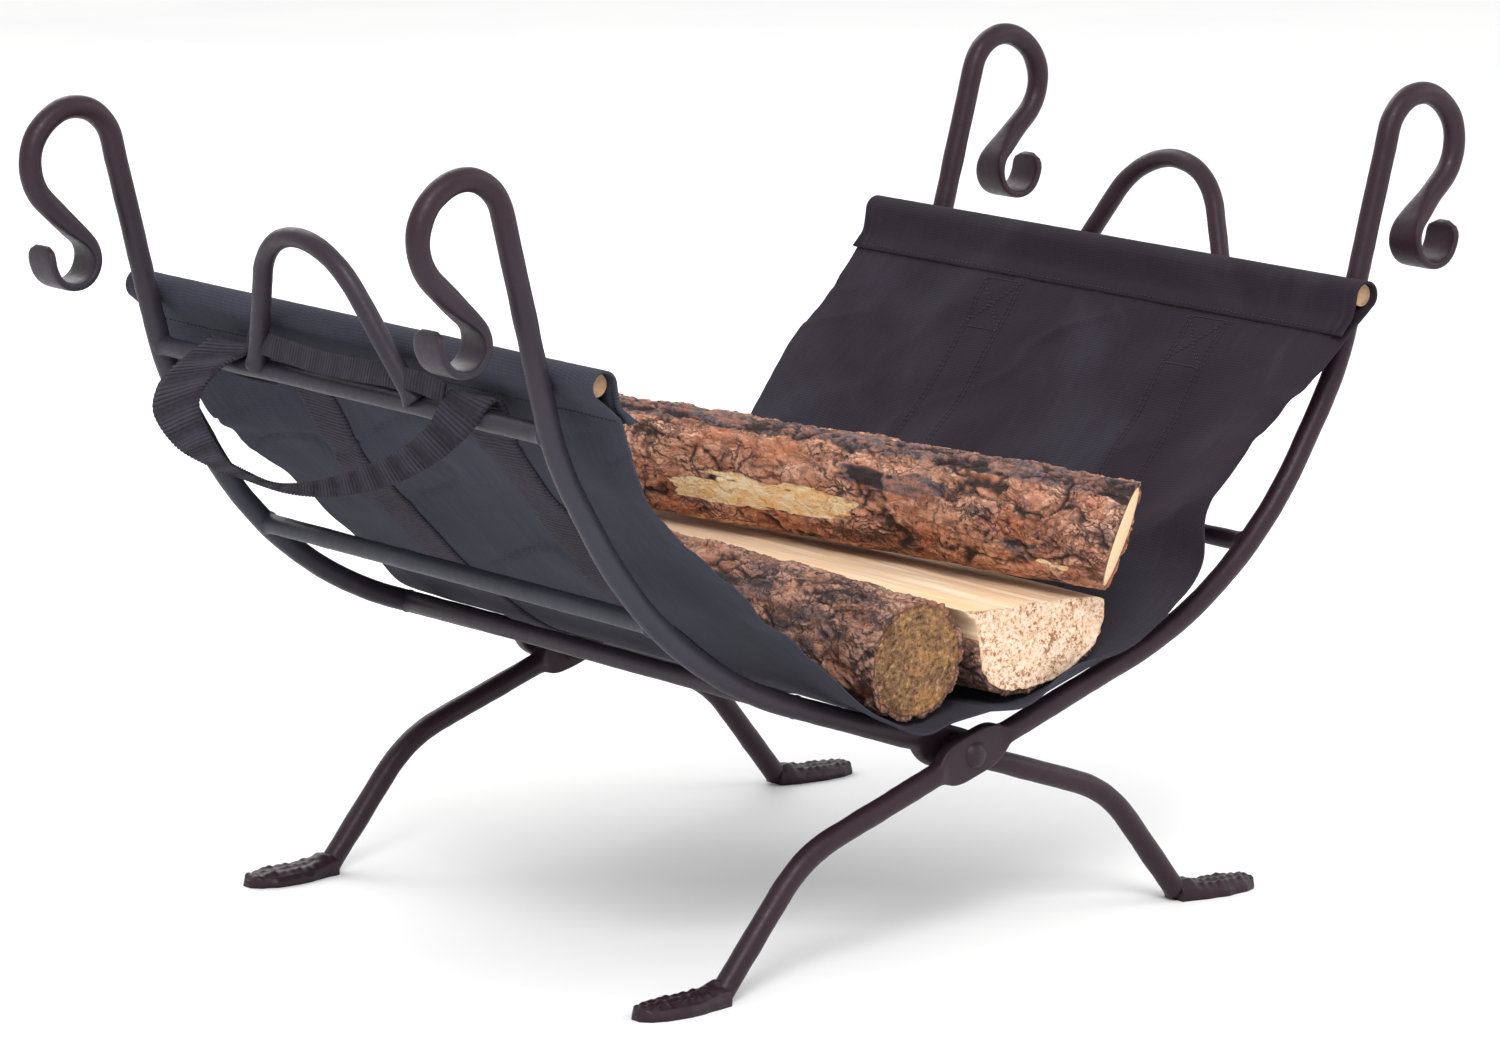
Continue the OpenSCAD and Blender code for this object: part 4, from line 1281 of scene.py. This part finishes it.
def split_log():
    """Cleft log: fibrous split faces, a coarse speckled sawn end and a strip of reddish bark."""
    low, high = node_box("split_log_wood")
    y0, y1 = low[1] + 0.5, high[1] - 0.5
    outline = np.array(SPLIT_OUTLINE + SPLIT_OUTLINE[:1], float)
    line = np.clip(curve_through(outline, 181)[:-1], SPLIT_LOW, SPLIT_HIGH)
    cols, rows = len(line), 170
    out = unit(line - SPLIT_HEART)
    y = np.broadcast_to(np.linspace(y0, y1, rows)[:, None], (rows, cols))
    p = np.stack([y * 0 + line[:, 0], y, y * 0 + line[:, 1]], -1)
    fibre = 0.9 * noise(p, (3.2, 130, 3.2), 61) + 0.8 * noise(p, (9, 90, 9), 63)
    fibre = fibre + 0.45 * noise(p, (1.8, 38, 1.8), 66)
    wide = 1.4 * noise(p, (30, 160, 30), 68)
    move = np.minimum(fibre + wide - 1.2, 0.0)
    shape = np.stack([line[:, 0] + out[:, 0] * move, y, line[:, 1] + out[:, 1] * move], -1)
    front, back = split_cap(shape[0], -1, y0, 1.0)[::-1], split_cap(shape[-1], 1, y1, 0.5)
    grid = np.concatenate([front, shape, back], 0)
    grid[..., 2] += PIVOT_Z
    piece = make("split_log_cleft_wood", grid, tube_faces(*grid.shape[:2]), finish_of("fresh"), "logs",
                 ["split_log_wood"])
    sawn = np.concatenate([np.ones(CAP_RINGS), np.zeros(rows), np.ones(CAP_RINGS)])
    sawn[CAP_RINGS] = sawn[CAP_RINGS + rows - 1] = 0.6
    give(piece, "sawn", np.broadcast_to(sawn[:, None], grid.shape[:2]))
    split_bark(line, out, y0, y1)


def split_bark(line, out, y0, y1):
    """Bark left on the round underside of the split log."""
    low_side = (line[:, 1] < 64) & (line[:, 0] < 84)
    strip, outward = line[low_side], out[low_side]
    rows, cols = 150, len(strip)
    y = np.linspace(y0 + 1.5, y1 - 1.5, rows)
    run = np.cumsum(np.r_[0, np.linalg.norm(np.diff(strip, axis=0), axis=1)])
    w, r = np.meshgrid(y, run, indexing="ij")
    height, values = bark_relief(w, r / 40.0, 40, 500, np.zeros_like(w) + 0.2, np.zeros_like(w), 0.8)
    edge = np.minimum(np.minimum(r, run[-1] - r) / 5.0, 1.0)
    height = np.clip(1.5 + 0.6 * height, 0.4, 2.6) * smooth(edge)
    outer = strip[None] + outward[None] * height[..., None]
    inner = np.repeat((strip - 2.2 * outward)[None], rows, 0)
    skins = [np.stack([g[..., 0], w, g[..., 1] + PIVOT_Z], -1).reshape(-1, 3) for g in (outer, inner)]
    piece = make("split_log_red_bark", np.vstack(skins), slab_faces(rows, cols), finish_of("low_bark"),
                 "logs", ["split_log_bark"])
    for key, value in values.items():
        give(piece, key, np.concatenate([value.ravel(), value.ravel()]))


# ---------------------------------------------------------------- settings

def length_setting(name, text, value, low, high):
    return bpy.props.FloatProperty(name=name, description=text, default=value, min=low, max=high,
                                   unit="LENGTH", precision=4)


def colour_setting(name, text, value):
    return bpy.props.FloatVectorProperty(name=name, description=text, default=value, min=0.0, max=1.0,
                                         subtype="COLOR", size=3)


class LogRackSizes(bpy.types.PropertyGroup):
    """Sizes of the pieces"""

    bar_diameter: length_setting("Bar", "Diameter of the forged bars", 0.0127, 0.008, 0.014)
    rail_diameter: length_setting("Rail", "Diameter of the rails and arched handles", 0.011, 0.008, 0.012)
    scroll_width: length_setting("Scroll width", "Width of the flattened scroll", 0.024, 0.016, 0.028)
    scroll_thickness: length_setting("Scroll thickness", "Thickness of the flattened scroll", 0.0045,
                                     0.003, 0.006)
    canvas_thickness: length_setting("Canvas", "Thickness of the canvas", 0.0014, 0.0008, 0.002)
    webbing_width: length_setting("Webbing width", "Width of the webbing", 0.038, 0.03, 0.04)
    webbing_thickness: length_setting("Webbing thickness", "Thickness of the webbing", 0.0018, 0.001, 0.0022)
    rib_pitch: length_setting("Rib pitch", "Distance between the webbing's cross ribs", 0.0028, 0.002, 0.004)
    thread_diameter: length_setting("Thread", "Diameter of the sewing thread", 0.0007, 0.0004, 0.0012)


class LogRackColours(bpy.types.PropertyGroup):
    """Colours of the finishes"""

    iron: colour_setting("Iron", "Lacquered wrought iron", (0.026, 0.011, 0.018))
    iron_cool: colour_setting("Iron, cool", "Lacquered iron low on the left", (0.032, 0.032, 0.045))
    canvas_warm: colour_setting("Canvas, warm", "Canvas towards the right", (0.027, 0.0195, 0.028))
    # canvas_cool is the cooler tone of the left-hand canvas, and the base of the dust's tint.
    canvas_cool: colour_setting("Canvas, cool", "Cooler-toned canvas towards the left", (0.045, 0.049, 0.069))
    webbing: colour_setting("Webbing", "Cotton webbing", (0.033, 0.028, 0.039))
    thread: colour_setting("Thread", "Sewing thread", (0.014, 0.010, 0.014))
    dowel: colour_setting("Dowel", "Hardwood dowel", (0.42, 0.27, 0.16))
    fresh_wood: colour_setting("Fresh wood", "Cleft and sawn pale wood", (0.84, 0.62, 0.40))
    weathered_wood: colour_setting("Weathered wood", "Old sawn end", (0.27, 0.16, 0.09))
    top_bark: colour_setting("Orange bark", "Flaking bark of the top log", (0.57, 0.28, 0.18))
    low_bark: colour_setting("Brown bark", "Bark of the lower log", (0.40, 0.205, 0.14))
    furrow: colour_setting("Furrows", "Old grey bark and cracks", (0.060, 0.048, 0.052))
    bare_wood: colour_setting("Bare wood", "Wood where the bark has gone", (0.90, 0.74, 0.48))


# ---------------------------------------------------------------- operators

CAMERA_PLACE = (-2.217, -2.693, 0.883)
CAMERA_ANGLES = (39.42, 10.91, 0.65)        # degrees: turned right, tipped down, rolled
CAMERA_LENS = 151.2
AIM = Vector((0, 0, 0.22))                  # the lights point here
LIGHTS = (("key", (-1.7, -2.2, 2.6), 1.2, 80), ("fill", (2.4, -1.6, 1.6), 2.0, 20),
          ("rim", (0.6, 2.6, 2.2), 2.0, 40))    # (name, place, size, power)
FLOOR_HALF = 9.0
PIVOT_EDGE, DOWEL_EDGE = 0.4, 0.8           # width of the softened edges, in millimetres


class LOGRACK_OT_stage(bpy.types.Operator):
    """Camera, pale floor and soft studio lights"""

    bl_idname = "log_rack.stage"
    bl_label = "Stage"

    def execute(self, context):
        scene = context.scene
        scene.view_settings.view_transform = "Standard"
        turn, tip, roll = (math.radians(a) for a in CAMERA_ANGLES)
        ahead = Vector((math.sin(turn) * math.cos(tip), math.cos(turn) * math.cos(tip), -math.sin(tip)))
        level = Vector((math.cos(turn), -math.sin(turn), 0))
        upright = level.cross(ahead)
        right = math.cos(roll) * level + math.sin(roll) * upright
        up = math.cos(roll) * upright - math.sin(roll) * level
        data = bpy.data.cameras.new("camera")
        data.lens, data.sensor_width = CAMERA_LENS, 36.0
        data.clip_start, data.clip_end = 0.1, 40
        camera = bpy.data.objects.new("camera", data)
        scene.collection.objects.link(camera)
        turned_to = Matrix((right, up, -ahead)).transposed().to_4x4()
        camera.matrix_world = Matrix.Translation(CAMERA_PLACE) @ turned_to
        scene.camera = camera
        self.floor(scene)
        self.lights(scene)
        return {"FINISHED"}

    def floor(self, scene):
        f = Finish("pale_floor")
        tone = f.mix(f.between(f.noise(3, 3), 0.4, 0.6), (0.90, 0.90, 0.90), (0.92, 0.92, 0.915))
        material = f.finish(Base_Color=tone, Roughness=0.85, Specular_IOR_Level=0.1)
        mesh = bpy.data.meshes.new("floor")
        corners = [(x * FLOOR_HALF, y * FLOOR_HALF, 0) for x, y in ((-1, -1), (1, -1), (1, 1), (-1, 1))]
        mesh.from_pydata(corners, [], [(0, 1, 2, 3)])
        mesh.materials.append(material)
        ground = bpy.data.objects.new("floor", mesh)
        scene.collection.objects.link(ground)

    def lights(self, scene):
        world = bpy.data.worlds.new("studio")
        world.use_nodes = True
        sky = world.node_tree.nodes["Background"]
        sky.inputs["Color"].default_value = (1, 1, 1, 1)
        sky.inputs["Strength"].default_value = 1.0
        scene.world = world
        for name, place, size, power in LIGHTS:
            data = bpy.data.lights.new(name, "AREA")
            data.size, data.energy = size, power
            lamp = bpy.data.objects.new(name, data)
            lamp.location = place
            lamp.rotation_euler = (AIM - Vector(place)).to_track_quat("-Z", "Y").to_euler()
            scene.collection.objects.link(lamp)


class LOGRACK_OT_bars(bpy.types.Operator):
    """The four forged bars with crooks, scrolls, laps and legs"""

    bl_idname = "log_rack.bars"
    bl_label = "Forged Bars"

    def execute(self, context):
        for side in SIDES:
            for end in ("front", "back"):
                frame_bar(side, end, context.scene.log_rack_sizes)
        return {"FINISHED"}


class LOGRACK_OT_rails(bpy.types.Operator):
    """The six cross rails"""

    bl_idname = "log_rack.rails"
    bl_label = "Cross Rails"

    def execute(self, context):
        for side in SIDES:
            for level in ("top", "middle", "lower"):
                frame_rail(side, level, context.scene.log_rack_sizes)
        return {"FINISHED"}


class LOGRACK_OT_arches(bpy.types.Operator):
    """The two arched handles"""

    bl_idname = "log_rack.arches"
    bl_label = "Arched Handles"

    def execute(self, context):
        for side in SIDES:
            arched_handle(side, context.scene.log_rack_sizes)
        return {"FINISHED"}


class LOGRACK_OT_feet(bpy.types.Operator):
    """The four studded feet"""

    bl_idname = "log_rack.feet"
    bl_label = "Feet"

    def execute(self, context):
        for side in SIDES:
            for end in ("front", "back"):
                forged_foot(side, end)
        return {"FINISHED"}


class LOGRACK_OT_pivots(bpy.types.Operator):
    """Finish of the pivot bolts, spacers, washers and nuts"""

    bl_idname = "log_rack.pivots"
    bl_label = "Pivots"

    def execute(self, context):
        for end in ("front", "back"):
            for part in ("bolt", "spacer", "washer", "nut"):
                dress(f"{end}_pivot_{part}", "iron", PIVOT_EDGE * MM)
        return {"FINISHED"}


class LOGRACK_OT_canvas(bpy.types.Operator):
    """Both halves of the canvas with their hems"""

    bl_idname = "log_rack.canvas"
    bl_label = "Canvas"

    def execute(self, context):
        for side in SIDES:
            canvas_half(side, context.scene.log_rack_sizes)
        return {"FINISHED"}


class LOGRACK_OT_dowels(bpy.types.Operator):
    """The wooden dowels in the hems"""

    bl_idname = "log_rack.dowels"
    bl_label = "Dowels"

    def execute(self, context):
        for side in SIDES:
            dress(f"{side}_dowel", "dowel", DOWEL_EDGE * MM)
        return {"FINISHED"}


class LOGRACK_OT_straps(bpy.types.Operator):
    """Sewn straps and all stitching on the canvas"""

    bl_idname = "log_rack.straps"
    bl_label = "Straps and Stitching"

    def execute(self, context):
        sizes = context.scene.log_rack_sizes
        for side in SIDES:
            for end in ("front", "back"):
                sewn_strap(side, end, sizes)
            canvas_stitching(side, sizes)
        return {"FINISHED"}


class LOGRACK_OT_webbing(bpy.types.Operator):
    """Webbing handles and the flat keeper straps"""

    bl_idname = "log_rack.webbing"
    bl_label = "Webbing Handles"

    def execute(self, context):
        sizes = context.scene.log_rack_sizes
        for side in SIDES:
            ribbon(f"{side}_webbing_loop", side, HANDLE_EDGES, LOOP_RIB, sizes, [f"{side}_webbing_handle"])
            ribbon(f"{side}_keeper_band", side, KEEPER_EDGES, KEEPER_RIB, sizes, [f"{side}_keeper_strap"])
        return {"FINISHED"}


class LOGRACK_OT_logs(bpy.types.Operator):
    """The three logs"""

    bl_idname = "log_rack.logs"
    bl_label = "Logs"

    def execute(self, context):
        top_log()
        lower_log()
        split_log()
        return {"FINISHED"}


STEPS = (LOGRACK_OT_stage, LOGRACK_OT_bars, LOGRACK_OT_rails, LOGRACK_OT_arches, LOGRACK_OT_feet,
         LOGRACK_OT_pivots, LOGRACK_OT_canvas, LOGRACK_OT_dowels, LOGRACK_OT_straps, LOGRACK_OT_webbing,
         LOGRACK_OT_logs)


class LOGRACK_PT_panel(bpy.types.Panel):
    """Sizes, colours and the pieces, in the order they are made"""

    bl_idname = "LOGRACK_PT_panel"
    bl_label = "Log Rack"
    bl_space_type = "VIEW_3D"
    bl_region_type = "UI"
    bl_category = "Log Rack"

    def draw(self, context):
        for step in STEPS:
            self.layout.operator(step.bl_idname)
        for group in (context.scene.log_rack_sizes, context.scene.log_rack_colours):
            box = self.layout.box()
            for name in group.__annotations__:
                box.prop(group, name)


CLASSES = (LogRackSizes, LogRackColours, *STEPS, LOGRACK_PT_panel)


def register():
    for cls in CLASSES:
        bpy.utils.register_class(cls)
    bpy.types.Scene.log_rack_sizes = bpy.props.PointerProperty(type=LogRackSizes)
    bpy.types.Scene.log_rack_colours = bpy.props.PointerProperty(type=LogRackColours)


def unregister():
    del bpy.types.Scene.log_rack_sizes
    del bpy.types.Scene.log_rack_colours
    for cls in reversed(CLASSES):
        bpy.utils.unregister_class(cls)


def main():
    register()
    for step in STEPS:
        group, name = step.bl_idname.split(".")
        getattr(getattr(bpy.ops, group), name)()


if __name__ == "__main__":
    main()
